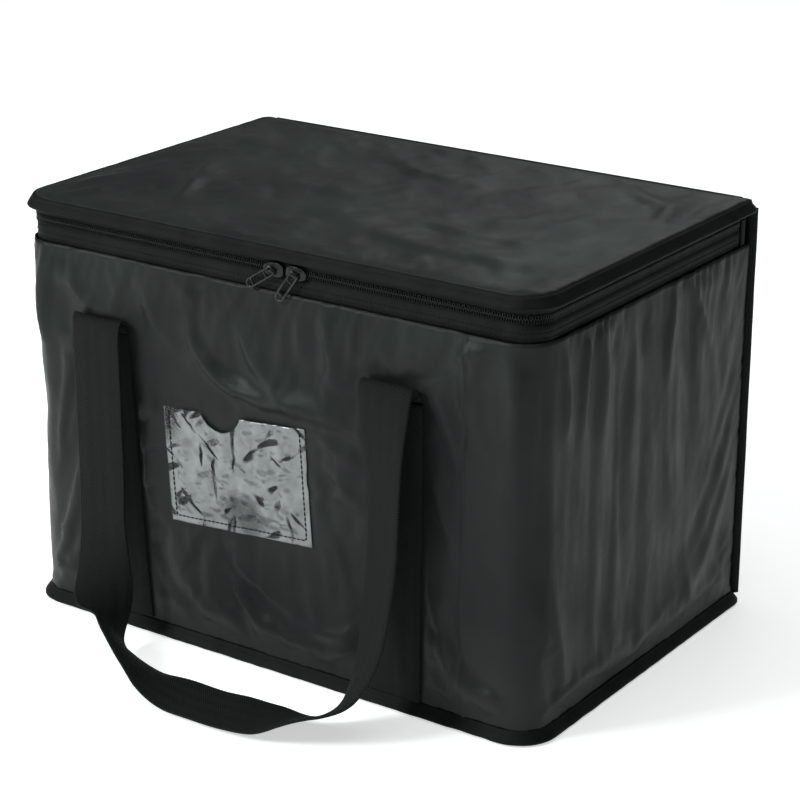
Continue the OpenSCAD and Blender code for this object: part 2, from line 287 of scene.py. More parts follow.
def stitches(name, path, lift, pitch=3.2 * MM, length=2.4 * MM, thick=0.45 * MM, closed=False):
    """A row of thread stitches along a path; lift is the surface's normal, or one for each point."""
    lift = np.broadcast_to(lift, path.shape)
    d = run_of(path)
    ring = circle(6)
    shape = [(0.0, 0.35, -0.5), (0.18, 0.9, 0.1), (0.5, 1.0, 0.45), (0.82, 0.9, 0.1), (1.0, 0.35, -0.5)]
    sample = lambda a, x: np.stack([np.interp(x, d, a[:, k]) for k in range(3)], -1)
    verts, faces = [], []
    for s in np.arange(pitch / 2, d[-1] - (0 if closed else pitch), pitch):
        at = sample(path, np.array([s, s + length]))
        n = unit(sample(lift, np.array([s])))[0]
        side = np.cross(unit(at[1] - at[0]), n)
        faces += tube_faces(len(shape), len(ring), start=len(verts), flip=True)
        for f, fat, rise in shape:
            c = at[0] + (at[1] - at[0]) * f + n * rise * thick * 0.6
            verts += [c + (side * x + n * y) * thick / 2 * fat for x, y in ring]
    return add_object(name, verts, faces)


# ---------------------------------------------------------------- materials
class Nodes:
    """Short helpers round one material's node tree."""

    def __init__(self, name, colour, rough, **sockets):
        self.mat = bpy.data.materials.new(name)
        self.mat.use_nodes = True
        self.tree = self.mat.node_tree
        self.bsdf = self.tree.nodes["Principled BSDF"]
        self.bsdf.inputs["Base Color"].default_value = (*colour, 1)
        self.bsdf.inputs["Roughness"].default_value = rough
        for key, value in sockets.items():
            self.bsdf.inputs[key.replace("_", " ")].default_value = value

    def add(self, kind, **settings):
        node = self.tree.nodes.new(kind)
        for key, value in settings.items():
            setattr(node, key, value)
        return node

    def link(self, a, b):
        self.tree.links.new(a, b)

    def put(self, value, socket):
        if isinstance(value, (int, float)):
            socket.default_value = value
        else:
            self.link(value, socket)

    def maths(self, op, a, b=0.0):
        node = self.add("ShaderNodeMath", operation=op)
        self.put(a, node.inputs[0])
        self.put(b, node.inputs[1])
        return node.outputs[0]

    def weave_place(self):
        return self.add("ShaderNodeAttribute", attribute_name="weave").outputs["Vector"]

    def place(self):
        return self.add("ShaderNodeTexCoord").outputs["Object"]

    def split(self, vector):
        node = self.add("ShaderNodeSeparateXYZ")
        self.link(vector, node.inputs[0])
        return node.outputs

    def texture(self, kind, vector, sockets, **settings):
        """A texture node, with values for its sockets."""
        node = self.add(kind, **settings)
        for key, value in sockets.items():
            node.inputs[key].default_value = value
        self.link(vector, node.inputs["Vector"])
        return node.outputs

    def noise(self, vector, scale, detail=3.0, stretch=(1, 1, 1)):
        place = self.texture("ShaderNodeMapping", vector, {"Scale": stretch})[0]
        return self.texture("ShaderNodeTexNoise", place, {"Scale": scale, "Detail": detail})["Fac"]

    def ramp(self, value, low, high, start, end):
        node = self.add("ShaderNodeMapRange")
        self.link(value, node.inputs["Value"])
        for key, x in (("From Min", start), ("From Max", end), ("To Min", low), ("To Max", high)):
            node.inputs[key].default_value = x
        return node.outputs[0]

    def tint(self, value, dark, light, start=0.35, end=0.65):
        node = self.add("ShaderNodeValToRGB")
        for element, position, colour in zip(node.color_ramp.elements, (start, end), (dark, light)):
            element.position, element.color = position, (*colour, 1)
        self.link(value, node.inputs[0])
        self.link(node.outputs[0], self.bsdf.inputs["Base Color"])

    def rough(self, value, low, high, start=0.3, end=0.7):
        self.link(self.ramp(value, low, high, start, end), self.bsdf.inputs["Roughness"])

    def bump(self, rib_height_and_groove_shade, distance, strength=1.0):
        node = self.add("ShaderNodeBump")
        node.inputs["Distance"].default_value = distance
        node.inputs["Strength"].default_value = strength
        self.link(rib_height_and_groove_shade, node.inputs["Height"])
        previous = self.bsdf.inputs["Normal"]
        if previous.is_linked:
            self.link(previous.links[0].from_socket, node.inputs["Normal"])
        self.link(node.outputs[0], previous)

    def wave(self, u, pitch):
        """A sine of a length, between -1 and 1, one turn each pitch."""
        return self.maths("SINE", self.maths("MULTIPLY", u, 2 * math.pi / pitch))


def cloth_material():
    """Coated woven polyester: near black, half gloss, a fine plain weave and a soft crinkle."""
    m = Nodes("woven_cloth", (0.008, 0.009, 0.009), 0.4, Specular_IOR_Level=0.09)
    uv = m.weave_place()
    u, v, _ = m.split(uv)
    threads = m.maths("MULTIPLY", m.wave(u, 0.7 * MM), m.wave(v, 0.7 * MM))
    m.bump(threads, 0.03 * MM, 0.6)
    m.bump(m.noise(uv, 110, 4.0), 0.5 * MM, 0.5)
    m.bump(m.noise(uv, 30, 4.0, stretch=(1, 0.3, 1)), 1.6 * MM, 0.5)
    m.tint(m.noise(uv, 9, 3.0), (0.0115, 0.0133, 0.013), (0.0215, 0.0243, 0.0235))
    m.rough(m.noise(uv, 30, 3.0), 0.31, 0.44)
    return m.mat


def webbing_material():
    """Heavy black webbing: slanting ribs that turn over every few millimetres across the width, with painted
    shade in the grooves between them.
    """
    m = Nodes("webbing_weave", (0.012, 0.012, 0.012), 0.75, Specular_IOR_Level=0.15, Sheen_Weight=0.01,
              Sheen_Roughness=0.5)
    u, v, _ = m.split(m.weave_place())
    zigzag = m.maths("PINGPONG", u, 4.75 * MM)
    slant = m.maths("ADD", v, m.maths("MULTIPLY", zigzag, 0.9))
    ribs = m.wave(slant, 1.7 * MM)
    cords = m.wave(u, 1.3 * MM)
    rib_height_and_groove_shade = m.maths("ADD", ribs, m.maths("MULTIPLY", cords, 0.45))
    m.bump(rib_height_and_groove_shade, 0.16 * MM, 1.0)
    # The colour follows the weave's height: painted shade darkens the grooves between ribs and cords, and the
    # rib tops are painted lighter.
    m.tint(m.ramp(rib_height_and_groove_shade, 0.0, 1.0, -1.2, 1.2), (0.0012, 0.0015, 0.0015), (0.0125, 0.0142, 0.0137), 0.3, 0.85)
    m.bump(m.noise(m.place(), 900, 2.0), 0.1 * MM, 0.3)
    return m.mat


def binding_material():
    """Narrow ribbed tape, softly shiny."""
    m = Nodes("binding_weave", (0.008, 0.0085, 0.0085), 0.6, Specular_IOR_Level=0.12)
    m.bump(m.wave(m.split(m.weave_place())[1], 0.9 * MM), 0.06 * MM, 0.8)
    m.tint(m.noise(m.place(), 60, 3.0), (0.0022, 0.0026, 0.0026), (0.0055, 0.0062, 0.006))
    return m.mat


def tape_material():
    """Zipper tape: a tight herringbone, dull."""
    m = Nodes("zipper_tape_weave", (0.007, 0.007, 0.0075), 0.65, Specular_IOR_Level=0.14)
    u, v, _ = m.split(m.weave_place())
    zigzag = m.maths("PINGPONG", v, 1.2 * MM)
    m.bump(m.wave(m.maths("ADD", u, zigzag), 0.8 * MM), 0.06 * MM, 0.8)
    m.tint(m.noise(m.place(), 80, 2.0), (0.003, 0.0032, 0.0033), (0.0065, 0.007, 0.007))
    return m.mat


def nylon_material():
    m = Nodes("coil_nylon", (0.006, 0.006, 0.0065), 0.3, Specular_IOR_Level=0.3)
    m.rough(m.noise(m.place(), 400, 2.0), 0.25, 0.4)
    m.tint(m.noise(m.place(), 150, 2.0), (0.004, 0.004, 0.0045), (0.01, 0.01, 0.011))
    return m.mat


def metal_material(name, dark, light, metallic):
    """Black plated zinc, a little brighter where it is handled."""
    m = Nodes(name, light, 0.3, Metallic=metallic, Specular_IOR_Level=0.35)
    where = m.noise(m.place(), 260, 4.0)
    m.rough(where, 0.24, 0.42)
    m.tint(where, dark, light, 0.3, 0.85)
    m.bump(m.noise(m.place(), 900, 2.0), 0.02 * MM, 0.4)
    return m.mat


def film_material():
    """Clear soft vinyl gone slightly milky, very shiny; the cloth behind shows dark where it clings."""
    m = Nodes("clear_vinyl", (0.42, 0.44, 0.45), 0.16, Specular_IOR_Level=0.7, Coat_Weight=0.4,
              Coat_Roughness=0.1)
    uv = m.weave_place()
    cling = m.ramp(m.noise(uv, 16, 1.0), 0.0, 0.75, 0.6, 0.68)
    for turn, scale in ((0.5, 46), (-0.75, 52), (1.5, 40)):
        warp = m.texture("ShaderNodeMapping", uv, {"Rotation": (0, 0, turn), "Location": (turn, 2 * turn, 0),
                                                   "Scale": (1, 0.3, 1)}, vector_type="TEXTURE")
        marks = m.texture("ShaderNodeTexNoise", warp[0], {"Scale": scale, "Detail": 0.5, "Distortion": 0.25})
        cling = m.maths("MAXIMUM", cling, m.ramp(marks["Fac"], 0.0, 1.0, 0.64, 0.7))
    loose = m.maths("SUBTRACT", 1.0, cling)
    m.link(m.ramp(loose, 0.06, 1.0, 0.0, 1.0), m.bsdf.inputs["Alpha"])
    m.tint(m.noise(uv, 70, 4.0), (0.11, 0.117, 0.117), (0.185, 0.195, 0.195))
    m.bump(loose, 0.9 * MM, 0.7)
    m.bump(m.noise(uv, 160, 3.0), 0.4 * MM, 0.4)
    return m.mat


def thread_material():
    m = Nodes("black_thread", (0.006, 0.006, 0.006), 0.6, Specular_IOR_Level=0.15)
    m.tint(m.noise(m.place(), 700, 2.0), (0.003, 0.003, 0.003), (0.009, 0.0095, 0.0095))
    return m.mat


def foil_material():
    """Aluminium film laminated to thin foam: pale, creased, faintly quilted."""
    m = Nodes("foil_film", (0.72, 0.73, 0.75), 0.28, Metallic=0.9)
    uv = m.weave_place()
    cells = m.texture("ShaderNodeTexVoronoi", uv, {"Scale": 95}, feature="DISTANCE_TO_EDGE")
    m.bump(cells["Distance"], 0.7 * MM, 0.35)
    m.bump(m.noise(uv, 240, 4.0), 0.4 * MM, 0.5)
    m.rough(m.noise(uv, 35, 3.0), 0.2, 0.42)
    m.tint(m.noise(uv, 12, 3.0), (0.62, 0.63, 0.65), (0.8, 0.81, 0.82))
    return m.mat


def foam_material():
    """Closed-cell foam sheet, white, with small cells."""
    m = Nodes("white_foam", (0.84, 0.84, 0.81), 0.85)
    cells = m.texture("ShaderNodeTexVoronoi", m.place(), {"Scale": 700})["Distance"]
    m.bump(cells, 0.3 * MM, 0.5)
    m.tint(cells, (0.86, 0.86, 0.83), (0.74, 0.74, 0.71), 0.2, 0.9)
    return m.mat


MATERIAL = {
    "outer_cloth": cloth_material(),
    "webbing": webbing_material(),
    "binding_tape": binding_material(),
    "zipper_tape": tape_material(),
    "zipper_coil": nylon_material(),
    "slider_metal": metal_material("slider_black", (0.004, 0.004, 0.0045), (0.02, 0.021, 0.021), 0.35),
    "clear_film": film_material(),
    "thread": thread_material(),
    "foil_liner": foil_material(),
    "foam": foam_material(),
}
PULL_METAL = metal_material("pull_black", (0.014, 0.0145, 0.0145), (0.06, 0.062, 0.062), 0.7)


def finish_piece(obj, body, slot, *replaced):
    """Give a piece its material, its body and the CAD nodes that it stands for."""
    obj.data.materials.clear()
    obj.data.materials.append(MATERIAL[slot])
    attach(obj, body)
    if replaced:
        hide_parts(*replaced)
    return obj


# ---------------------------------------------------------------- the woven wall
# Folds in the loose cloth: the points of the fold's line in millimetres, its width and its height.
# On the front the first number is x; on a side it is the distance behind the front corner's start.
FRONT_FOLDS = [
    ([(-59, 236), (-54, 212), (-38, 195), (-19, 184), (20, 183), (54, 180), (76, 173)], 9, 3.6),
    ([(-52, 222), (-40, 206), (-22, 194), (0, 190)], 6, -1.6),
    ([(-20, 243), (-13, 216), (5, 197), (22, 186)], 8, 2.8),
    ([(26, 243), (28, 210)], 7, 1.4),
    ([(45, 247), (52, 217), (50, 200)], 7, 2.2),
    ([(-46, 254), (-58, 239)], 5, -1.8),
    ([(-7, 255), (-14, 242), (-27, 230)], 6, -2.4),
    ([(11, 255), (9, 236)], 4, -1.5),
    ([(140, 255), (136, 241), (122, 228), (106, 216)], 7, -3.0),
    ([(150, 250), (146, 234), (128, 219), (114, 208)], 8, 2.4),
    ([(70, 252), (65, 220)], 3, 0.9),
    ([(158, 246), (129, 222)], 6, -1.6),
    ([(38, 168), (74, 151)], 5, 1.4),
    ([(42, 153), (76, 126)], 6, 1.6),
    ([(-104, 150), (-83, 158)], 5, 1.3),
    ([(-104, 128), (-80, 135)], 5, 1.4),
    ([(-104, 104), (-80, 111)], 5, 1.2),
    ([(-42, 74), (-12, 49), (19, 32)], 7, -2.4),
    ([(-28, 74), (0, 54), (30, 38)], 8, 2.0),
    ([(-40, 60), (-22, 38), (-14, 10)], 5, -1.8),
    ([(-30, 60), (-11, 38), (-4, 12)], 7, 1.6),
    ([(-80, 52), (-66, 43), (-50, 40)], 12, -2.2),
    ([(49, 110), (58, 89), (63, 68)], 3, 1.1),
    ([(34, 32), (76, 45)], 4, 1.4),
    ([(46, 21), (74, 35)], 4, 1.2),
    ([(36, 133), (58, 131), (77, 124)], 5, 1.4),
    ([(121, 221), (150, 241), (180, 256)], 8, 2.6),
    ([(-170, 236), (-150, 226), (-136, 214)], 9, 2.0),
    ([(-175, 196), (-150, 190), (-130, 192)], 10, 1.6),
    ([(-92, 236), (-84, 214), (-66, 202)], 8, 1.8),
    ([(128, 120), (134, 70), (130, 24)], 10, 1.6),
]
CORNER_FOLDS = [
    ([(202, 252), (199, 215), (200, 170), (196, 110)], 7, -3.0),
    ([(179, 240), (182, 214), (180, 180)], 9, 2.8),
    ([(214, 250), (218, 214), (216, 186)], 7, 2.2),
    ([(190, 110), (196, 64), (190, 22)], 9, 2.0),
    ([(208, 88), (214, 54), (219, 26)], 7, 2.4),
    ([(203, 60), (205, 36), (210, 18)], 6, -2.0),
]
SIDE_FOLDS = [
    ([(32, 250), (30, 222), (27, 178)], 6, 2.4),
    ([(59, 249), (66, 216), (69, 168), (66, 120)], 8, -2.2),
    ([(46, 250), (52, 215), (50, 172)], 9, 2.6),
    ([(94, 246), (99, 214)], 6, -1.8),
    ([(140, 258), (135, 236), (129, 212), (128, 180)], 7, 2.6),
    ([(150, 258), (162, 238), (176, 214), (186, 196)], 7, 2.6),
    ([(146, 246), (152, 216), (156, 176)], 9, -2.0),
    ([(225, 257), (237, 230), (240, 200), (238, 150)], 6, 2.2),
    ([(198, 54), (222, 28), (240, 12)], 8, -2.8),
    ([(190, 60), (214, 32), (228, 14)], 7, 1.8),
    ([(164, 52), (167, 12)], 4, 1.6),
    ([(96, 60), (102, 30), (98, 12)], 8, 1.8),
    ([(110, 150), (114, 90), (108, 44)], 14, 1.8),
]
SIDE_START = FRONT_RUN + FRONT_R * math.pi / 2      # where a side's flat wall starts
CORNER_MIDDLE = FRONT_RUN + FRONT_R * math.pi / 4


# The sewn webbings: x at the foot, and how far the top stands to the right of it.
SEWN = {"left": (-114 * MM, -13 * MM), "right": (98 * MM, 1 * MM)}
WEB_FOOT, WEB_TOP = 10 * MM, 203 * MM
WEB_W, WEB_T = 38 * MM, 1.8 * MM
PRESS_LINE = 148 * MM       # x of the crease pressed into the front
POCKET = {"x": -22 * MM, "z": 127 * MM, "w": 112 * MM, "h": 77 * MM, "tilt": math.radians(4)}


def webbing_line(x_low, lean, z):
    """x of a sewn webbing's middle line at height z."""
    return x_low + lean * (z - WEB_FOOT) / (WEB_TOP - WEB_FOOT)


def pocket_local(x, z):
    """Place on the pocket, from its middle, of a point on the front."""
    c, s = math.cos(POCKET["tilt"]), math.sin(POCKET["tilt"])
    dx, dz = x - POCKET["x"], z - POCKET["z"]
    return dx * c + dz * s, -dx * s + dz * c


def pocket_front(u, v):
    """The front's x and z of a place on the pocket."""
    c, s = math.cos(POCKET["tilt"]), math.sin(POCKET["tilt"])
    return POCKET["x"] + u * c - v * s, POCKET["z"] + u * s + v * c


def pocket_mask(x, z, outer, inner):
    """1 on the pocket, 0 away from it, changing between two distances outside its rim."""
    u, v = pocket_local(x, z)
    return (step_between(POCKET["w"] / 2 + outer, POCKET["w"] / 2 + inner, np.abs(u))
            * step_between(POCKET["h"] / 2 + outer, POCKET["h"] / 2 + inner, np.abs(v)))


def puckers(along, away, pitch, reach, rib_height_and_groove_shade, seed, slant=0.35):
    """Short gathers that stand square to a seam and die out away from it."""
    u = (along + slant * away) / pitch
    gather = 1 - np.abs(gradient_noise(u, away / (7 * pitch), seed)) * 2.2
    strength = 0.55 + 0.6 * gradient_noise(along / (9 * pitch), away * 0, seed + 5)
    return rib_height_and_groove_shade * np.clip(gather, -0.6, 1) * np.clip(strength, 0.08, 1.2) * np.exp(-away / reach)


def sewn_mask(x, z, x_low, lean):
    across = np.abs(x - webbing_line(x_low, lean, z))
    return step_between(26 * MM, 18 * MM, across) * step_between(WEB_TOP + 12 * MM, WEB_TOP, z)


def calmness(s):
    """1 on the sides, which have foam right behind them and are calmer than the front; 0 on the front."""
    return step_between(FRONT_RUN, SIDE_START + 10 * MM, np.abs(s))


def wall_out(s, z, face):
    """How far the wall's cloth stands out from its foam. face is 'wrap' or 'back'."""
    s, z = np.broadcast_arrays(np.asarray(s, float), np.asarray(z, float))
    seed = 3 if face == "wrap" else 40
    top = WALL_TOP if face == "wrap" else back_hi[2]
    end = SEAM_RUN if face == "wrap" else HALF_RUN - SEAM_RUN
    low_room = step_between(SEAM_Z, SEAM_Z + 22 * MM, z)
    top_room = step_between(top, top - 16 * MM, z)
    end_room = step_between(end, end - 22 * MM, np.abs(s))
    room = low_room * top_room * end_room
    calm = calmness(s) if face == "wrap" else 0.5
    lively = room * (1.4 - 0.7 * calm)
    out = 0.4 * MM + 1.3 * MM * room
    out = out + 1.5 * MM * lively * fractal(s / (60 * MM), z / (120 * MM), seed, 3)
    out = out + 0.6 * MM * room * fractal(s / (15 * MM), z / (80 * MM), seed + 7, 3)
    lean = s + 0.25 * z
    out = out + 1.1 * MM * lively * (0.45 - np.abs(fractal(lean / (34 * MM), z / (110 * MM), seed + 23, 2)))
    out = out + puckers(s, top - z, 8 * MM, 20 * MM, 2.2 * MM, seed + 11)
    out = out + puckers(s, z - SEAM_Z, 9 * MM, 12 * MM, 1.0 * MM, seed + 13, -0.3)
    out = out + puckers(z, end - np.abs(s), 10 * MM, 14 * MM, 1.1 * MM, seed + 17)
    if face == "wrap":
        deep = 0 * out
        for points, width, rib_height_and_groove_shade in FRONT_FOLDS + CORNER_FOLDS:
            deep = deep + fold(s, z, points, width, rib_height_and_groove_shade)
        for points, width, rib_height_and_groove_shade in SIDE_FOLDS:
            deep = deep + fold(s - SIDE_START, z, points, width, rib_height_and_groove_shade)
            deep = deep + fold(-s - SIDE_START, z - 6 * MM, [(238 - a, b) for a, b in points], width, rib_height_and_groove_shade)
        for points, width, rib_height_and_groove_shade in CORNER_FOLDS:
            deep = deep + fold(-s, z, points, width * 1.2, rib_height_and_groove_shade * 0.8)
        out = out + (2.0 - 0.8 * calm) * deep * (0.25 + 0.75 * np.maximum(room, low_room * end_room * 0.5))
        near = pocket_mask(s, z, 9 * MM, -2 * MM)
        out = out * (1 - 0.8 * near) + 1.0 * MM * near
    else:
        for k, (a, b) in enumerate([(-150, 240), (-60, 236), (30, 242), (120, 238), (-20, 60), (90, 70)]):
            drift = 26 * (-1) ** k
            out = out + room * fold(s, z, [(a, b), (a + drift, b - 34), (a + drift * 1.6, b - 62)], 9, 2.4)
    for x_low, tilt in SEWN.values():
        flat = sewn_mask(s, z, x_low, tilt)
        out = out * (1 - 0.92 * flat) + 0.5 * MM * flat
    # The zipper pulls pass just in front of the wall's top.
    out = np.minimum(out, 2.1 * MM + np.maximum(top - 4 * MM - z, 0))
    out = np.maximum(out, 0.15 * MM)
    if face == "wrap":
        # No foam stands behind a front corner, so the cloth cuts it a little.
        bend = np.clip(1 - np.abs(np.abs(s) - CORNER_MIDDLE) / (17 * MM), 0, 1)
        out = out - 2.6 * MM * step_between(0, 1, bend) * low_room * step_between(top, top - 30 * MM, z)
    return out


def wall_point(s, z, out):
    return triples(*outline(s, -out)[:2], z)


def press_crease(s, z):
    """The light upright crease where the cloth was once folded flat."""
    line = PRESS_LINE + 1.5 * MM * gradient_noise(z / (60 * MM), z * 0, 31)
    return 0.55 * MM * np.exp(-((s - line) / (1.2 * MM)) ** 2)


def settle(points, held, slack, frames, weight):
    """Lets a sheet of cloth that is a little too large for its place buckle and settle, by simulation.
    points is its grid, and held says how firmly each point stays where it is sewn or glued."""
    m, n = points.shape[:2]
    sheet = add_object("settling", points.reshape(-1, 3), grid_faces(m, n))
    group = sheet.vertex_groups.new(name="held")
    firm = np.round(np.clip(held, 0, 1), 2).ravel()
    for level in np.unique(firm):
        group.add(np.nonzero(firm == level)[0].tolist(), float(level), "REPLACE")
    cloth = sheet.modifiers.new("cloth", "CLOTH")
    setup = cloth.settings
    setup.quality = 6
    setup.mass = 0.12
    setup.air_damping = 3
    setup.tension_stiffness = setup.compression_stiffness = 18
    setup.shear_stiffness = 9
    setup.bending_stiffness = 0.35
    setup.tension_damping = setup.compression_damping = setup.shear_damping = 8
    setup.bending_damping = 1
    setup.shrink_min = -slack
    setup.vertex_group_mass = "held"
    setup.pin_stiffness = 4
    setup.effector_weights.gravity = weight
    cloth.collision_settings.use_collision = False
    cloth.point_cache.frame_start, cloth.point_cache.frame_end = 1, frames
    scene = bpy.context.scene
    for frame_number in range(1, frames + 1):
        scene.frame_set(frame_number)
    shown = sheet.evaluated_get(bpy.context.evaluated_depsgraph_get())
    flat = np.zeros(m * n * 3)
    shown.data.vertices.foreach_get("co", flat)
    bpy.data.objects.remove(sheet)
    scene.frame_set(1)
    return flat.reshape(m, n, 3)


CELL = 3 * MM
span = lambda a, b: np.linspace(a, b, int(abs(b - a) / CELL) + 2)


def keep_outside(start, moved, s, z):
    """The moved cloth, kept in front of its foam and within a few millimetres of where it began. The
    sides move less than the front."""
    moved = moved + (start - moved) * 0.6 * calmness(s)[..., None]
    x, y, nx, ny = outline(s)
    normal, base = triples(nx, ny, 0), triples(x, y, z)
    shift = moved - base
    begin = ((start - base) * normal).sum(-1)
    out = (shift * normal).sum(-1)
    lowest = np.where(begin > 0, 0.6 * begin, begin)
    kept = np.clip(out, lowest, begin + 5 * MM)
    return moved + normal * (kept - out)[..., None]


def loose_wall(s, along, z, face, end, top, slack, frames):
    """The outer cloth of a face, settled over its foam. s is the place round the bag, along is the
    place on the face, and end and top are where the cloth is sewn."""
    tuck = step_between(SEAM_Z - 1 * MM, 2 * MM, z)
    points = wall_point(s, z, wall_out(along, z, face) * (1 - tuck) - 0.1 * MM * tuck)
    held = step_between(SEAM_Z + 9 * MM, SEAM_Z + 2 * MM, z) + step_between(*top, z)
    held = held + step_between(end - 8 * MM, end - 3 * MM, np.abs(along))
    for x_low, lean in SEWN.values():
        held = held + sewn_mask(along, z, x_low, lean)
    if face == "wrap":
        held = held + pocket_mask(along, z, 5 * MM, 0)
    return keep_outside(points, settle(points, held, slack, frames, 0.4), s, z)


def make_wall():
    s = span(-SEAM_RUN, SEAM_RUN)
    z = span(2 * MM, WALL_TOP - 1 * MM)
    S, Z = np.meshgrid(s, z, indexing="ij")
    points = loose_wall(S, S, Z, "wrap", SEAM_RUN, (WALL_TOP - 9 * MM, WALL_TOP - 3 * MM), 0.013, 24)
    # The pressed crease is finer than the grid, so a few more columns are put in there.
    fine = np.sort(np.concatenate([s, PRESS_LINE + np.arange(-5, 5.1, 0.7) * MM]))
    S, Z = np.meshgrid(fine, z, indexing="ij")
    points = np.stack([np.stack([np.interp(fine, s, column) for column in points[..., k].T], -1)
                       for k in range(3)], -1)
    points[..., 1] -= press_crease(S, Z)
    wall = shell("wall_cloth", points, 0.7 * MM, S, Z)
    finish_piece(wall, "bag", "outer_cloth", "outer_wrap")

    end = HALF_RUN - SEAM_RUN
    t = span(-end, end)
    z = span(2 * MM, back_hi[2] + 0.4 * MM)
    T, Z = np.meshgrid(t, z, indexing="ij")
    S = np.where(T >= 0, -1, 1) * (HALF_RUN - np.abs(T))
    points = loose_wall(S, T, Z, "back", end, (z[-1] - 6 * MM, z[-1] - 2 * MM), 0.01, 20)
    back = shell("back_cloth", points, 0.7 * MM, T, Z)
    finish_piece(back, "bag", "outer_cloth", "outer_back")


# ---------------------------------------------------------------- flat panels: lid, base, their liners
def half_width(y, inset=0.0, back=BACK_Y):
    """Half the bag's width at depth y, with its round corners."""
    w, r1, r2 = HALF_W - inset, FRONT_R - inset, max(BACK_R - inset, 0.6 * MM)
    front, rear = FRONT_Y + inset, back
    a = np.clip((front + r1 - y) / r1, 0, 1)
    b = np.clip((y - rear + r2) / r2, 0, 1)
    return w - r1 * (1 - np.sqrt(1 - a * a)) - r2 * (1 - np.sqrt(1 - b * b))


def panel_grid(inset, y0, y1, back=BACK_Y, upward=True):
    """A grid over the bag's outline, with its rows packed closer at the round corners."""
    v = np.linspace(0, 1, int((y1 - y0) / CELL) + 2)
    v = v - 0.035 * np.sin(2 * np.pi * v)
    y = y0 + (y1 - y0) * v
    u = np.linspace(-1, 1, int(2 * HALF_W / CELL) + 2)
    u = u + 0.02 * np.sin(2 * np.pi * u)
    U, Y = np.meshgrid(u, y if upward else y[::-1], indexing="ij")
    return U * half_width(Y, inset, back), Y


FOIL = 0.3 * MM     # thickness of the foil film
LID_FOLDS = [
    ([(-148, 8), (-132, -22), (-116, -58)], 8, 2.0),
    ([(-98, -90), (-112, -64), (-119, -30)], 8, 1.8),
    ([(-128, 60), (-112, 20), (-118, -12)], 12, -1.2),
    ([(-66, 96), (-20, 60), (30, 50)], 12, 1.8),
    ([(-40, 110), (10, 84), (70, 80)], 10, -1.4),
    ([(20, 20), (60, 4), (110, 8)], 14, -1.8),
    ([(0, -56), (60, -78), (120, -84), (176, -76)], 14, 1.6),
    ([(40, -30), (90, -44), (150, -40)], 10, 1.2),
    ([(172, 96), (178, 66), (186, 36)], 6, -2.0),
    ([(160, 100), (166, 66), (176, 34)], 7, 1.8),
    ([(110, 110), (140, 84), (164, 76)], 9, 1.4),
    ([(-172, -124), (-160, -104), (-156, -84)], 7, 1.6),
    ([(-184, -96), (-170, -70), (-168, -44)], 8, 1.4),
    ([(-60, 20), (-30, -10), (10, -20)], 14, 1.2),
]


def make_lid():
    back = LID_BACK + BACK_R
    X, Y = panel_grid(0, FRONT_Y, LID_BACK, back)
    side = half_width(Y, 0, back) - np.abs(X)
    front, rear = Y - FRONT_Y, LID_BACK - Y
    edge = np.minimum(side, front)
    room = step_between(0, 20 * MM, edge) * step_between(0, 14 * MM, rear)
    rise = 1.2 * MM * step_between(0, 9 * MM, edge) * step_between(-2 * MM, 12 * MM, rear)
    rise = rise + room * 1.5 * MM * fractal(X / (95 * MM), Y / (75 * MM), 51, 2)
    rise = rise + room * 1.2 * MM * fractal((X + Y) / (30 * MM), (X - Y) / (64 * MM), 57, 3)
    ridges = np.abs(fractal((X - 0.6 * Y) / (50 * MM), (X + Y) / (90 * MM), 59, 2))
    rise = rise + room * 1.7 * MM * (0.45 - ridges)
    for points, width, rib_height_and_groove_shade in LID_FOLDS:
        rise = rise + 1.9 * (0.3 + 0.7 * room) * fold(X, Y, points, 0.8 * width, rib_height_and_groove_shade)
    soft_end = step_between(0, 5 * MM, edge)
    rise = rise + soft_end * puckers(X, front, 8 * MM, 17 * MM, 2.4 * MM, 61, 0.5)
    rise = rise + soft_end * puckers(Y, side, 8 * MM, 12 * MM, 1.7 * MM, 67)
    rise = np.maximum(rise, 0.1 * MM)
    points = triples(X, Y, panel_hi[2] + rise)
    held = step_between(6 * MM, 1 * MM, edge) + step_between(5 * MM, 1 * MM, rear)
    points = settle(points, held, 0.009, 20, 0.3)
    points[..., 2] = panel_hi[2] + np.clip(points[..., 2] - panel_hi[2], 0.7 * rise, rise + 4 * MM)
    lid = shell("lid_cloth", points, 0.7 * MM, X, Y)
    finish_piece(lid, "lid", "outer_cloth", "lid_panel")

    foil_lo, foil_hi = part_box("lid_liner")
    inset = HALF_W - foil_hi[0]
    X, Y = panel_grid(inset, foil_lo[1], LID_BACK - 1 * MM, back, upward=False)
    side = half_width(Y, inset, back) - np.abs(X)
    edge = np.minimum(np.minimum(side, Y - foil_lo[1]), LID_BACK - Y)
    sag = crinkle(X, Y, 71) * step_between(0, 10 * MM, edge)
    liner = shell("lid_foil", triples(X, Y, foil_lo[2] - sag), FOIL, X, Y)
    finish_piece(liner, "lid", "foil_liner", "lid_liner")


def crinkle(u, v, seed):
    """Sharp-edged creases of foil film, always on the same side of its foam."""
    big = np.abs(fractal(u / (46 * MM), v / (52 * MM), seed, 3))
    small = np.abs(fractal((u + 0.4 * v) / (15 * MM), v / (19 * MM), seed + 4, 2))
    return 1.6 * MM * big + 0.7 * MM * small


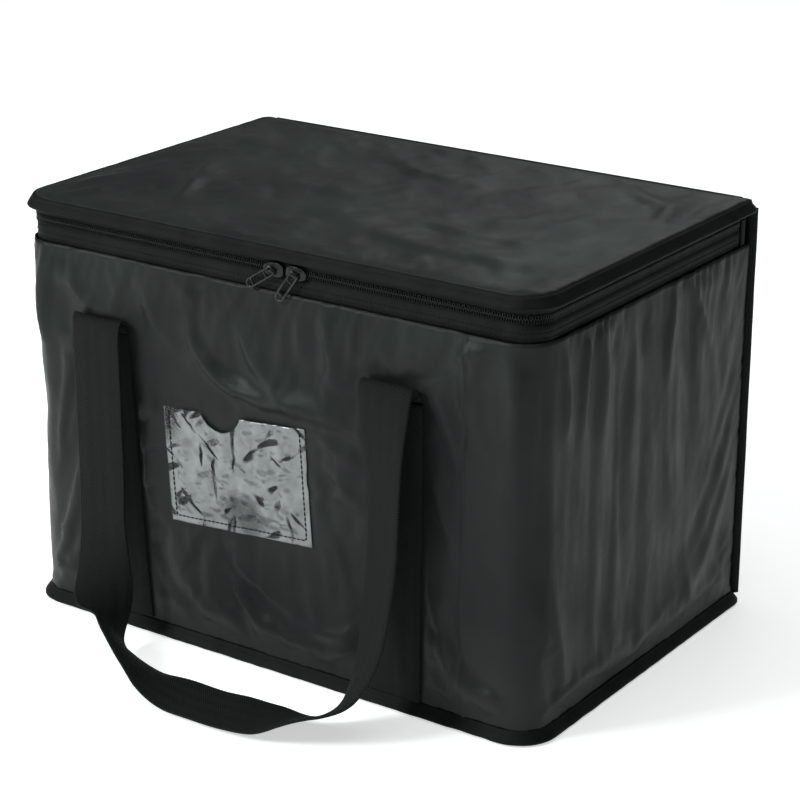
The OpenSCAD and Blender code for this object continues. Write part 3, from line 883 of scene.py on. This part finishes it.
def make_base_and_liner():
    X, Y = panel_grid(0, FRONT_Y, BACK_Y, upward=False)
    rise = 0.1 * MM + 0.25 * MM * (1 + np.clip(fractal(X / (60 * MM), Y / (60 * MM), 81, 3), -1, 1))
    base = shell("base_cloth", triples(X, Y, rise), 0.6 * MM, X, Y)
    finish_piece(base, "bag", "outer_cloth", "outer_bottom")

    foil_lo, foil_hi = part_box("liner_bottom")
    inset = HALF_W - foil_hi[0]
    X, Y = panel_grid(inset, foil_lo[1], foil_hi[1], back=foil_hi[1])
    side = half_width(Y, inset, foil_hi[1]) - np.abs(X)
    edge = np.minimum(side, np.minimum(Y - foil_lo[1], foil_hi[1] - Y))
    rise = crinkle(X, Y, 83) * step_between(0, 10 * MM, edge)
    floor_foil = shell("floor_foil", triples(X, Y, foil_hi[2] + rise), FOIL, X, Y)
    finish_piece(floor_foil, "bag", "foil_liner", "liner_bottom")

    # The wall's foil stands higher across the back, where the lid is hinged.
    foil_lo, foil_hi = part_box("liner_wrap")
    S, Z = np.meshgrid(span(HALF_RUN, -HALF_RUN)[:-1], span(foil_lo[2], foil_hi[2]), indexing="ij")
    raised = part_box("liner_back")[1][2] - foil_hi[2]
    top = foil_hi[2] + raised * step_between(SIDE_RUN, SEAM_RUN + 3 * MM, np.abs(S))
    Z = foil_lo[2] + (Z - foil_lo[2]) * (top - foil_lo[2]) / (foil_hi[2] - foil_lo[2])
    fade = step_between(0, 12 * MM, Z - foil_lo[2]) * step_between(0, 10 * MM, top - Z)
    ends = step_between(HALF_RUN, HALF_RUN - 20 * MM, np.abs(S))
    x, y = outline(S, inset + 0.4 * MM + crinkle(S, Z, 87) * fade * ends)[:2]
    foil = shell("wall_foil", triples(x, y, Z), FOIL, S, Z, closed_u=True)
    finish_piece(foil, "bag", "foil_liner", "liner_wrap", "liner_back")


# ---------------------------------------------------------------- bound seams
UP = np.array([0, 0, 1.0])
SIDES = ((-1, "left"), (1, "right"))


def tape_section(droop, length, thick):
    """Section of a seam wrapped in folded tape, from the wall (0, 0) out and down by droop."""
    d = np.array([math.cos(droop), -math.sin(droop)])
    n = np.array([math.sin(droop), math.cos(droop)])
    r = thick / 2
    tip = d * (length - r)
    round_end = [tip + r * (d * math.cos(a) + n * math.sin(a))
                 for a in np.linspace(math.pi / 2, -math.pi / 2, 7)]
    lip = [-0.6 * MM * d + n * r * 1.5, 0.9 * MM * d + n * r * 1.6, 2.2 * MM * d + n * r * 1.15,
           0.55 * length * d + n * r * 1.25]
    under = [0.5 * length * d - n * r * 1.2, 1.8 * MM * d - n * r * 1.1, -0.6 * MM * d - n * r * 1.2]
    return [tuple(p) for p in lip + round_end + under]


def bound_seam(name, s, z, droop, length, body, node, closed, seed):
    """A bound seam round the outline, a little wavy, with its stitch row."""
    x, y, nx, ny = outline(s)
    centre, across = triples(x, y, z), triples(nx, ny, 0)
    along = s - s[0]
    wave = fractal(along / (34 * MM), along * 0, seed, 2)
    wave2 = fractal(along / (13 * MM), along * 0, seed + 3, 2)
    if closed:
        fade = step_between(0, 40 * MM, along) * step_between(0, 40 * MM, along[-1] - along)
        wave, wave2 = wave * fade, wave2 * fade
    sections = [tape_section(droop + 0.10 * a, length * (1 + 0.03 * b), 2.2 * MM * (1 + 0.12 * b))
                for a, b in zip(wave, wave2)]
    seam = sweep(name, centre, across, UP, sections, closed=closed, along=along)
    finish_piece(seam, body, "binding_tape", node)
    p = np.array(sections)
    row = 0.62 * p[:, 2] + 0.38 * p[:, 3]
    line = centre + across * row[:, :1] + UP * (row[:, 1:] + 0.1 * MM)
    lift = unit(across * math.sin(droop) + UP * math.cos(droop))
    finish_piece(stitches(name + "_stitches", line, lift, closed=closed), body, "thread")


def upright_seam(side, name):
    """The bound seam down a back corner, with a stitch row on each of its faces."""
    node = f"back_{name}_binding"
    lo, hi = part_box(node)
    z = np.linspace(lo[2] - 4 * MM, hi[2] + 3 * MM, 100)
    corner = np.array([side * (HALF_W - BACK_R), BACK_Y - BACK_R, 0])
    out = np.array([side, 1, 0]) / math.sqrt(2)
    wide = np.array([1, -side, 0]) * side / math.sqrt(2)
    wave = 0.5 * MM * fractal(z / (40 * MM), z * 0, 101 + side, 2)
    centre = corner + out * BACK_R + triples(wave * wide[0], wave * wide[1], z)
    half = [(0, -1.1), (4.5, -1.3), (5.9, -1.15), (6.7, -0.6), (7.0, 0)]
    section = np.array(half + [(a, -b) for a, b in half[-2::-1]]) * MM
    finish_piece(sweep(f"upright_seam_{name}", centre, out, wide, section), "bag", "binding_tape", node)
    for face, mark in ((-1, "a"), (1, "b")):
        line = centre + out * 4.2 * MM + wide * face * 1.3 * MM
        finish_piece(stitches(f"upright_stitches_{name}_{mark}", line, wide * face), "bag", "thread")


def make_hinge_and_rim():
    """The cord along the hinge, and the tapes that close the walls' tops over the foam."""
    lo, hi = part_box("hinge_piping")
    x = np.linspace(lo[0], hi[0], 160)
    centre = triples(x, (lo[1] + hi[1]) / 2, (lo[2] + hi[2]) / 2)
    cord = sweep("hinge_cord", centre, (0, 1, 0), UP, circle(12, 1.2 * MM))
    finish_piece(cord, "bag", "binding_tape", "hinge_piping")

    lo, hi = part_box("rim_binding")
    end = SIDE_RUN - 1 * MM
    s = np.linspace(-end, end, 330)
    x, y, nx, ny = outline(s, 3.9 * MM)
    ripple = 0.25 * MM * fractal(s / (25 * MM), s * 0, 111, 2)
    section = [(2.2, -0.9), (2.2, 0.5), (1.6, 1.1), (0, 1.3), (-1.8, 1.1), (-3.0, 0.1), (-3.4, -3.5),
               (-3.5, -7.5), (-2.6, -7.5), (-2.45, -0.9)]
    rim = sweep("rim_tape", triples(x, y, lo[2] + 0.9 * MM + ripple * 0.5), triples(nx, ny, 0), UP,
                np.array(section) * MM, along=s - s[0])
    finish_piece(rim, "bag", "binding_tape", "rim_binding")

    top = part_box("foam_back")[1][2]
    x = np.linspace(HALF_W - BACK_R - 1 * MM, BACK_R + 1 * MM - HALF_W, 200)
    ripple = 0.2 * MM * fractal(x / (25 * MM), x * 0, 113, 2)
    section = [(2.6, -0.9), (2.6, 0.2), (1.6, 0.5), (0, 0.6), (-1.8, 0.5), (-2.8, 0.1), (-3.1, -3.0),
               (-3.1, -5.5), (-2.5, -5.5), (-2.3, -0.9)]
    centre = triples(x, BACK_Y - 4.1 * MM, top + 1.0 * MM + 0.5 * ripple)
    rim = sweep("back_rim_tape", centre, (0, 1, 0), UP, np.array(section) * MM)
    finish_piece(rim, "bag", "binding_tape")


def make_bindings():
    s = np.linspace(-HALF_RUN, HALF_RUN, 420, endpoint=False)
    bound_seam("bottom_seam", s, 7.6 * MM, math.radians(47), 8.6 * MM, "bag", "bottom_binding", True, 91)
    end = SIDE_RUN + 4 * MM
    s = np.linspace(-end, end, 330)
    z = panel_hi[2] - 1.1 * MM
    bound_seam("lid_seam", s, z, math.radians(48), 7.6 * MM, "lid", "lid_binding", False, 95)
    for side, name in SIDES:
        upright_seam(side, name)
    make_hinge_and_rim()


def make_lid_hem():
    """The tape that closes the lid's rear corners and hinge edge over its foam."""
    foam_lo, foam_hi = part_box("lid_foam")
    y = np.linspace(LID_BACK - 26 * MM, LID_BACK, 16)
    x = half_width(y, HALF_W - foam_hi[0] - 0.2 * MM)
    across_back = np.linspace(x[-1], -x[-1], 90)[1:-1]
    path_x = np.concatenate([x, across_back, -x[::-1]])
    path_y = np.concatenate([y, 0 * across_back + LID_BACK, y[::-1]])
    tangent = unit(np.stack([np.gradient(path_x), np.gradient(path_y)], -1))
    low, high = foam_lo[2] - 0.6 * MM, panel_hi[2] + 0.3 * MM
    half, t = (high - low) / 2, 0.13 * MM
    section = [(t, -half), (t, 0), (t, half), (-t, half), (-t, -half)]
    hem = sweep("lid_hem_tape", triples(path_x, path_y, (low + high) / 2),
                triples(tangent[:, 1], -tangent[:, 0], 0), UP, section)
    finish_piece(hem, "lid", "binding_tape")


# ---------------------------------------------------------------- zipper
def tape_band(name, inset, z0, z1, seed, body, node, stitch_rows):
    s = np.linspace(-ZIP_RUN, ZIP_RUN, 340)
    x, y, nx, ny = outline(s, inset)
    half = (z1 - z0) / 2
    t = 0.3 * MM
    ripple = 0.1 * MM * fractal(s / (30 * MM), s * 0, seed, 2)
    section = [(t, -half), (t, -half / 3), (t, half / 3), (t, half), (-t, half), (-t, -half)]
    centre, across = triples(x + nx * ripple, y + ny * ripple, (z0 + z1) / 2), triples(nx, ny, 0)
    finish_piece(sweep(name, centre, across, UP, section, along=s - s[0]), body, "zipper_tape", node)
    for k, z in enumerate(stitch_rows):
        line = centre + across * (t + 0.15 * MM)
        line[:, 2] = z
        finish_piece(stitches(f"{name}_stitches_{k + 1}", line, across), body, "thread")


ZIP_RUN = SIDE_START + (ZIP_BACK - FRONT_Y - FRONT_R)
TOOTH_PITCH = 1.7 * MM


def coil_row(name, z_root, up, phase, body, node):
    """One side's nylon coil: slanting loops on a cord, whose heads sit between the other side's."""
    centres = np.arange(-ZIP_RUN + TOOTH_PITCH, ZIP_RUN - TOOTH_PITCH, TOOTH_PITCH) + phase * TOOTH_PITCH
    shape = [(0.0, 0.30, 0.62), (0.5, 0.36, 0.85), (1.7, 0.34, 0.9), (2.5, 0.36, 0.85), (3.1, 0.38, 0.7),
             (3.5, 0.2, 0.4)]
    ring = circle(8)
    verts, faces = [], []
    for cx, cy, ax, ay in zip(*outline(centres, 1.2 * MM)):
        faces += tube_faces(len(shape), len(ring), start=len(verts), flip=up > 0)
        for rise, a, b in shape:
            lean = 0.10 * MM * (rise - 1.7)
            for c, d in ring:
                u, v = c * a * MM + lean, d * b * MM
                verts.append((cx - ay * u + ax * v, cy + ax * u + ay * v, z_root + up * rise * MM))
    finish_piece(add_object(name, verts, faces), body, "zipper_coil", node)
    x, y, nx, ny = outline(np.linspace(-ZIP_RUN, ZIP_RUN, 500), 0.35 * MM)
    row = stitches(name + "_thread", triples(x, y, z_root + up * 0.55 * MM), triples(nx, ny, 0),
                   pitch=2 * TOOTH_PITCH, length=2.6 * MM, thick=0.5 * MM)
    finish_piece(row, body, "thread")


def make_zipper():
    low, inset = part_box("zipper_tape_lower")[0][2], 1.1 * MM
    tape_band("lower_tape", inset, low, coil_low_lo[2] + 0.3 * MM, 121, "bag", "zipper_tape_lower",
              (WALL_TOP + 1.2 * MM, WALL_TOP + 4.4 * MM))
    tape_band("upper_tape", inset, coil_up_hi[2] - 0.3 * MM, panel_lo[2], 123, "lid", "zipper_tape_upper",
              (panel_lo[2] - 3.2 * MM,))
    coil_row("lower_coil", coil_low_lo[2] + 0.2 * MM, 1, 0.0, "bag", "zipper_coil_lower")
    coil_row("upper_coil", coil_up_hi[2] - 0.2 * MM, -1, 0.5, "lid", "zipper_coil_upper")
    rim = [(1, -0.4), (1, 0.4), (0.7, 1), (0, 1.1), (-0.7, 1), (-1, 0.4), (-1, -0.4), (-0.7, -1), (0.7, -1)]
    for side, name in SIDES:
        lo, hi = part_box(f"zipper_end_{name}")
        z = np.linspace(lo[2], hi[2] + 3 * MM, 20)
        fat = 0.5 * MM + 0.35 * MM * np.sin(np.linspace(0, np.pi, 20))
        sections = [[(a * 2.6 * MM, b * f) for a, b in rim] for f in fat]
        centre = triples(side * (HALF_W - 0.5 * MM), (lo[1] + hi[1]) / 2, z)
        tab = sweep(f"zip_end_{name}", centre, (0, side, 0), (1, 0, 0), sections)
        finish_piece(tab, "bag", "zipper_tape", f"zipper_end_{name}")


def tube(name, path, across, radius, closed=False):
    """Round wire along a path that stays square to one direction."""
    path = np.asarray(path, float)
    t = unit(np.roll(path, -1, 0) - np.roll(path, 1, 0)) if closed else unit(np.gradient(path, axis=0))
    return sweep(name, path, across, unit(np.cross(t, across)), circle(8, radius), closed=closed)


def joined(name, objs):
    """Joins several small meshes of one moulding into one piece."""
    verts, faces = [], []
    for o in objs:
        base = len(verts)
        verts += [tuple(o.matrix_world @ v.co) for v in o.data.vertices]
        faces += [tuple(base + i for i in p.vertices) for p in o.data.polygons]
        bpy.data.objects.remove(o)
    return add_object(name, verts, faces)


def plate(name, outline_points, y0, y1, bevel=0.3 * MM):
    """A flat plate in the front's plane with rounded rims, between two depths."""
    pts = np.array(outline_points)
    tangent = unit(np.roll(pts, -1, 0) - np.roll(pts, 1, 0))
    inward = np.stack([-tangent[:, 1], tangent[:, 0]], -1)
    small = bevel * 0.3
    rings = [(y1, bevel), (y1 - small, small), (y1 - bevel, 0),
             (y0 + bevel, 0), (y0 + small, small), (y0, bevel)]
    verts = [(p[0] + i[0] * b, y, p[1] + i[1] * b) for y, b in rings for p, i in zip(pts, inward)]
    return add_object(name, verts, tube_faces(len(rings), len(pts), flip=True))


def make_corner_gussets():
    """Narrow cloth pieces that close each back corner between the zipper's end and the upright seam."""
    low, high = WALL_TOP - 3 * MM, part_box("lid_liner")[0][2] - 0.4 * MM
    for side, name in SIDES:
        s = side * np.linspace(ZIP_RUN - 1 * MM, SEAM_RUN + 1 * MM, 24)[::side]
        z = np.linspace(low, high, 20)
        S, Z = np.meshgrid(s, z, indexing="ij")
        ripple = 0.2 * MM * fractal(S / (9 * MM), Z / (12 * MM), 141 + side, 2)
        gusset = shell(f"corner_gusset_{name}", wall_point(S, Z, ripple - 1.7 * MM), 0.5 * MM, S, Z)
        finish_piece(gusset, "bag", "outer_cloth")


def make_sliders():
    for lean, name in SIDES:
        lo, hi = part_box(f"slider_{name}")
        cx, cz = (lo[0] + hi[0]) / 2, ZIP_Z
        plate_y = FRONT_Y - 0.4 * MM
        half_l, half_h = (hi[0] - lo[0]) / 2, 4.5 * MM
        squareness = 2 / 3.2        # the power that turns a circle into a rounded rectangle
        shape = []
        for c, s in circle(40):
            x = np.sign(c) * abs(c) ** squareness * half_l
            waist = 1 - 0.22 * step_between(-0.2, 1.0, lean * x / half_l)
            shape.append((cx + x, cz + np.sign(s) * abs(s) ** squareness * half_h * waist))
        front = plate("front", shape, plate_y - 1.4 * MM, plate_y)
        rear = plate("rear", [(cx + (x - cx) * 0.98, cz + (z - cz) * 0.78) for x, z in shape],
                     plate_y + 3.1 * MM, plate_y + 4.1 * MM)
        post = plate("post", [(cx + a, cz + b) for a, b in circle(12, 2 * MM, 0.5 * MM)],
                     plate_y - 0.2 * MM, plate_y + 3.2 * MM, 0.05 * MM)
        reach = plate_y - 1.4 * MM - lo[1] - 0.5 * MM
        bend = np.linspace(0, math.pi, 15)
        arch = [(cx - 2.3 * MM * math.copysign(abs(math.cos(a)) ** 0.5, math.cos(a)),
                 plate_y - 1.2 * MM - reach * math.sin(a) ** 0.5, cz) for a in bend]
        bail = tube("bail", arch, (0, 0, 1), 0.5 * MM)
        body = joined(f"zip_slider_{name}", [front, rear, post, bail])
        finish_piece(body, f"slider_{name}", "slider_metal", f"slider_{name}")


PULL_DROP = {"left": math.radians(33), "right": math.radians(54)}


def make_pulls():
    for name in ("left", "right"):
        joint = JOINT[f"pull_{name}_flip"]
        pivot = np.array(joint["pos_m"] if "pos_m" in joint else joint["pos"])
        drop = PULL_DROP[name]
        along = np.array([-math.cos(drop), 0, -math.sin(drop)])
        wide = np.array([math.sin(drop), 0, -math.cos(drop)])
        thick = np.array([0, -1, 0])
        length, half = 22 * MM, 2.7 * MM
        # The eye bar crosses the bail; two rails run out to a round end with an open slot.
        cross_bar = [wide * w for w in np.linspace(-half, half, 5)]
        bar = tube("bar", [pivot + w for w in cross_bar], thick, 0.45 * MM)
        loop = []
        for a in np.linspace(-math.pi / 2, math.pi / 2, 13):
            loop.append(pivot + along * (length - half + half * math.cos(a)) + wide * half * math.sin(a))
        for t in np.linspace(0.85, 0, 8):
            loop.append(pivot + along * (length - half) * t + wide * half)
        for a in np.linspace(0, math.pi, 5)[1:-1]:
            loop.append(pivot + wide * half * math.cos(a) - along * 0.3 * MM * math.sin(a))
        for t in np.linspace(0, 0.85, 8):
            loop.append(pivot + along * (length - half) * t - wide * half)
        frame_ring = [(0.78 * MM * math.cos(a) * (1 + 0.15 * math.cos(4 * a)), 0.55 * MM * math.sin(a))
                      for a in np.linspace(0, 2 * math.pi, 10, endpoint=False)]
        path = np.array(loop)
        t = unit(np.roll(path, -1, 0) - np.roll(path, 1, 0))
        frame_part = sweep("frame", path, np.cross(t, thick), thick, frame_ring, closed=True)
        bridge = tube("bridge", [pivot + along * 6.2 * MM + w for w in cross_bar], thick, 0.6 * MM)
        end = pivot + along * (length - half - 1.6 * MM)
        stop = tube("stop", [end + w for w in cross_bar], thick, 0.65 * MM)
        pull = joined(f"zip_pull_{name}", [bar, frame_part, bridge, stop])
        finish_piece(pull, f"pull_{name}", "slider_metal", f"pull_{name}")
        pull.data.materials[0] = PULL_METAL


# ---------------------------------------------------------------- card pocket
def make_pocket():
    u = np.linspace(-POCKET["w"] / 2, POCKET["w"] / 2, 113)
    v = np.linspace(-1, 1, 78)
    U, V = np.meshgrid(u, v, indexing="ij")
    half_w, half_h = POCKET["w"] / 2, POCKET["h"] / 2
    notch_x, notch_r = -9 * MM, 17 * MM
    depth = np.sqrt(np.maximum(notch_r ** 2 - (U - notch_x) ** 2, 0))
    top = half_h - np.maximum(depth - 6 * MM, 0)
    V = -half_h + (V + 1) / 2 * (top + half_h)
    x, z = pocket_front(U, V)
    cloth = wall_out(x, z, "wrap")
    edge = 4 * MM
    loose = step_between(0, 12 * MM, np.minimum(half_w - np.abs(U), half_h + V) - edge)
    lift = 0.5 * MM + 1.0 * MM * loose
    dents = np.abs(fractal(U / (15 * MM) + 3, V / (11 * MM), 131, 2))
    grain = fractal((U + V) / (9 * MM), (U - V) / (16 * MM), 137, 2)
    lift = lift + loose * (1.5 * MM * dents + 0.4 * MM * grain)
    lift = np.maximum(lift, 0.35 * MM)
    film = shell("pocket_film", triples(x, FRONT_Y - cloth - lift - 0.3 * MM, z), 0.3 * MM, U, V)
    finish_piece(film, "bag", "clear_film", "card_pocket")

    w, h = half_w - edge, half_h - edge
    corner = [(-w, half_h - 1 * MM), (-w, -h), (w, -h), (w, half_h - 1 * MM)]
    line = []
    for (a, b), (c, d) in zip(corner, corner[1:]):
        steps = max(int(math.hypot(c - a, d - b) / (2 * MM)), 2)
        line += [(a + (c - a) * k / steps, b + (d - b) * k / steps) for k in range(steps)]
    line.append(corner[-1])
    u, v = np.array(line).T
    x, z = pocket_front(u, v)
    y = FRONT_Y - wall_out(x, z, "wrap") - 0.95 * MM
    row = stitches("pocket_thread", triples(x, y, z), (0, -1, 0), pitch=3.4 * MM, length=3.0 * MM,
                   thick=0.8 * MM)
    finish_piece(row, "bag", "thread", "pocket_stitching")


# ---------------------------------------------------------------- webbing and handles
def turned(points):
    """The same points half a turn round the bag's upright axis."""
    return points * np.array([-1, -1, 1])


def make_sewn_webbing():
    for face, swapped in (("wrap", {}), ("back", {"left": "right", "right": "left"})):
        back = face == "back"
        for side, (x_low, lean) in SEWN.items():
            z = np.linspace(9 * MM, WEB_TOP, 60)
            x = webbing_line(x_low, lean, z)
            cloth = np.max([wall_out(x + o, z, face) for o in np.linspace(-WEB_W / 2, WEB_W / 2, 9)], 0)
            centre = triples(x, FRONT_Y - cloth - WEB_T / 2 - 0.1 * MM, z)
            tangent = unit(np.gradient(centre, axis=0))
            across = unit(np.cross(tangent, (0, 1, 0)))
            normal = np.cross(across, tangent)
            rows = [centre + across * edge * (WEB_W / 2 - 2.6 * MM) + normal * (WEB_T / 2 + 0.05 * MM)
                    for edge in (-1, 1)]
            if back:
                centre, across, normal = turned(centre), turned(across), turned(normal)
                rows = [turned(row) for row in rows]
            where = ("back_" if back else "front_") + swapped.get(side, side)
            strap = sweep(f"sewn_strap_{where}", centre, across, normal, round_section(WEB_W, WEB_T))
            finish_piece(strap, "bag", "webbing", f"webbing_{where}")
            for k, line in enumerate(rows):
                name = f"strap_stitches_{where}_{k + 1}"
                finish_piece(stitches(name, line, normal, pitch=3.6 * MM, length=2.8 * MM), "bag", "thread")


# Middle line of the free handle in millimetres and the direction across the webbing, from the left top
# over the floor to the right top.
HANDLE = [
    ((-127, -133.6, 207), (1, 0, 0)), ((-126, -138, 212), (1, 0, 0)),
    ((-125, -142.6, 207), (1, 0, 0)), ((-124, -144, 182), (1, 0, 0)),
    ((-123, -145, 150), (1, 0, 0)), ((-121, -147, 110), (1, 0, 0)),
    ((-118, -151, 75), (1, 0, 0)), ((-113, -158, 48), (0.97, 0.2, -0.15)),
    ((-105, -168, 31), (0.7, 0.5, -0.5)), ((-93, -178, 21), (0.15, 0.58, -0.8)),
    ((-76, -187, 17), (-0.1, 0.75, -0.65)), ((-56, -194, 12), (-0.25, 0.9, -0.42)),
    ((-38, -198, 7), (-0.3, 0.95, -0.12)), ((-18, -200, 4), (-0.1, 1, 0.05)),
    ((5, -201, 4), (0, 1, 0.06)), ((28, -201, 5), (-0.15, 1, 0.1)),
    ((49, -199, 6), (-0.4, 0.9, 0)), ((69, -195, 10), (-0.55, 0.7, -0.35)),
    ((86, -187, 15), (-0.62, 0.6, -0.5)), ((97, -177, 26), (-0.7, 0.6, -0.42)),
    ((101, -165, 46), (-0.78, 0.54, -0.28)), ((101, -156, 75), (-0.83, 0.5, -0.12)),
    ((101, -150, 110), (-0.86, 0.47, -0.05)), ((100, -146, 150), (-0.88, 0.44, 0)),
    ((98, -144, 182), (-0.96, 0.25, 0)), ((98, -142.6, 209), (-1, 0, 0)),
    ((98, -138, 214), (-1, 0, 0)), ((98, -133.6, 209), (-1, 0, 0)),
]


def make_handles():
    middle = [(-126.6, -131.8, 203)] + [p for p, w in HANDLE] + [(99, -131.8, 203)]
    wide = [(1, 0, 0)] + [w for p, w in HANDLE] + [(-1, 0, 0)]
    centre = smooth_curve(middle, 10) * MM
    across = unit(smooth_curve(wide, 10))
    tangent = unit(np.gradient(centre, axis=0))
    across = unit(across - (across * tangent).sum(1, keepdims=True) * tangent)
    normal = unit(np.cross(across, tangent))
    run = run_of(centre)
    fade = step_between(0, 60 * MM, run) * step_between(0, 60 * MM, run[-1] - run)
    curl = 0.9 * MM * fade * fractal(run / (80 * MM), run * 0, 151, 2)
    base = np.array(round_section(WEB_W, WEB_T))
    cup = np.stack([0 * base[:, 0], (2 * base[:, 0] / WEB_W) ** 2], -1)
    sections = base + curl[:, None, None] * cup
    for name, side in (("front_handle", -1), ("back_handle", 1)):
        c, a, n = (turned(v) if side > 0 else v for v in (centre, across, normal))
        strap = sweep(name + "_strap", c, a, n, sections)
        low = np.array([v.co for v in strap.data.vertices])
        low[:, 2] = np.maximum(low[:, 2], 0.4 * MM)
        strap.data.vertices.foreach_set("co", low.ravel())
        strap.data.update()
        strap.data.materials.append(MATERIAL["webbing"])
        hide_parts(name)
        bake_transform(strap)


# ---------------------------------------------------------------- the parts that stay as packed
def dress_frame():
    for node in ("foam_front", "foam_left", "foam_right", "foam_back", "foam_bottom", "lid_foam"):
        obj = frame["nodes"][node]
        obj.data.materials.clear()
        obj.data.materials.append(MATERIAL["foam"])


# ---------------------------------------------------------------- floor, light and camera
TINT = (0.93, 1.0, 0.985)       # the colour of all the light


def make_stage():
    r = 6.0
    corners = [(-r, -r, 0), (r, -r, 0), (r, r, 0), (-r, r, 0)]
    floor = add_object("floor", corners, [(0, 1, 2, 3)], smooth=False)
    m = Nodes("pale_floor", (0.9, 0.9, 0.9), 0.8, Specular_IOR_Level=0.1, Emission_Color=(1, 1, 1, 1),
              Emission_Strength=0.56)
    floor.data.materials.append(m.mat)

    world = bpy.data.worlds.new("studio")
    world.use_nodes = True
    world.node_tree.nodes["Background"].inputs[0].default_value = (*TINT, 1)
    world.node_tree.nodes["Background"].inputs[1].default_value = 0.15
    bpy.context.scene.world = world


def area_light(name, place, aim, size, power):
    data = bpy.data.lights.new(name, "AREA")
    data.shape = "RECTANGLE"
    data.size, data.size_y = size
    data.energy = power
    data.color = TINT
    light = bpy.data.objects.new(name, data)
    light.location = place
    light.rotation_euler = (Vector(aim) - Vector(place)).to_track_quat("-Z", "Y").to_euler()
    bpy.context.scene.collection.objects.link(light)


def make_lights():
    area_light("overhead", (-0.3, -0.3, 2.4), (0, 0, 0), (3.0, 3.0), 38)
    area_light("behind", (-0.9, 2.3, 1.5), (0, 0, 0.25), (0.9, 0.5), 4)
    area_light("front_left", (-1.3, -1.9, 1.5), (0, 0, 0.16), (0.7, 0.7), 46)


def make_camera():
    data = bpy.data.cameras.new("camera")
    data.lens, data.sensor_width = 111.8, 36
    camera = bpy.data.objects.new("camera", data)
    bpy.context.scene.collection.objects.link(camera)
    right, up, forward = (Vector(v) for v in ((0.82183, 0.56973, 0.00169), (-0.19704, 0.28144, 0.93913),
                                             (-0.53457, 0.77214, -0.34356)))
    turn = Matrix((right, up, -forward)).transposed()
    camera.matrix_world = Matrix.Translation((0.88294, -1.26012, 0.70529)) @ turn.to_4x4()
    bpy.context.scene.camera = camera
    bpy.context.scene.view_settings.view_transform = "Standard"


make_wall()
make_lid()
make_base_and_liner()
make_bindings()
make_lid_hem()
make_zipper()
make_corner_gussets()
make_sliders()
make_pulls()
make_pocket()
make_sewn_webbing()
make_handles()
dress_frame()
make_stage()
make_lights()
make_camera()
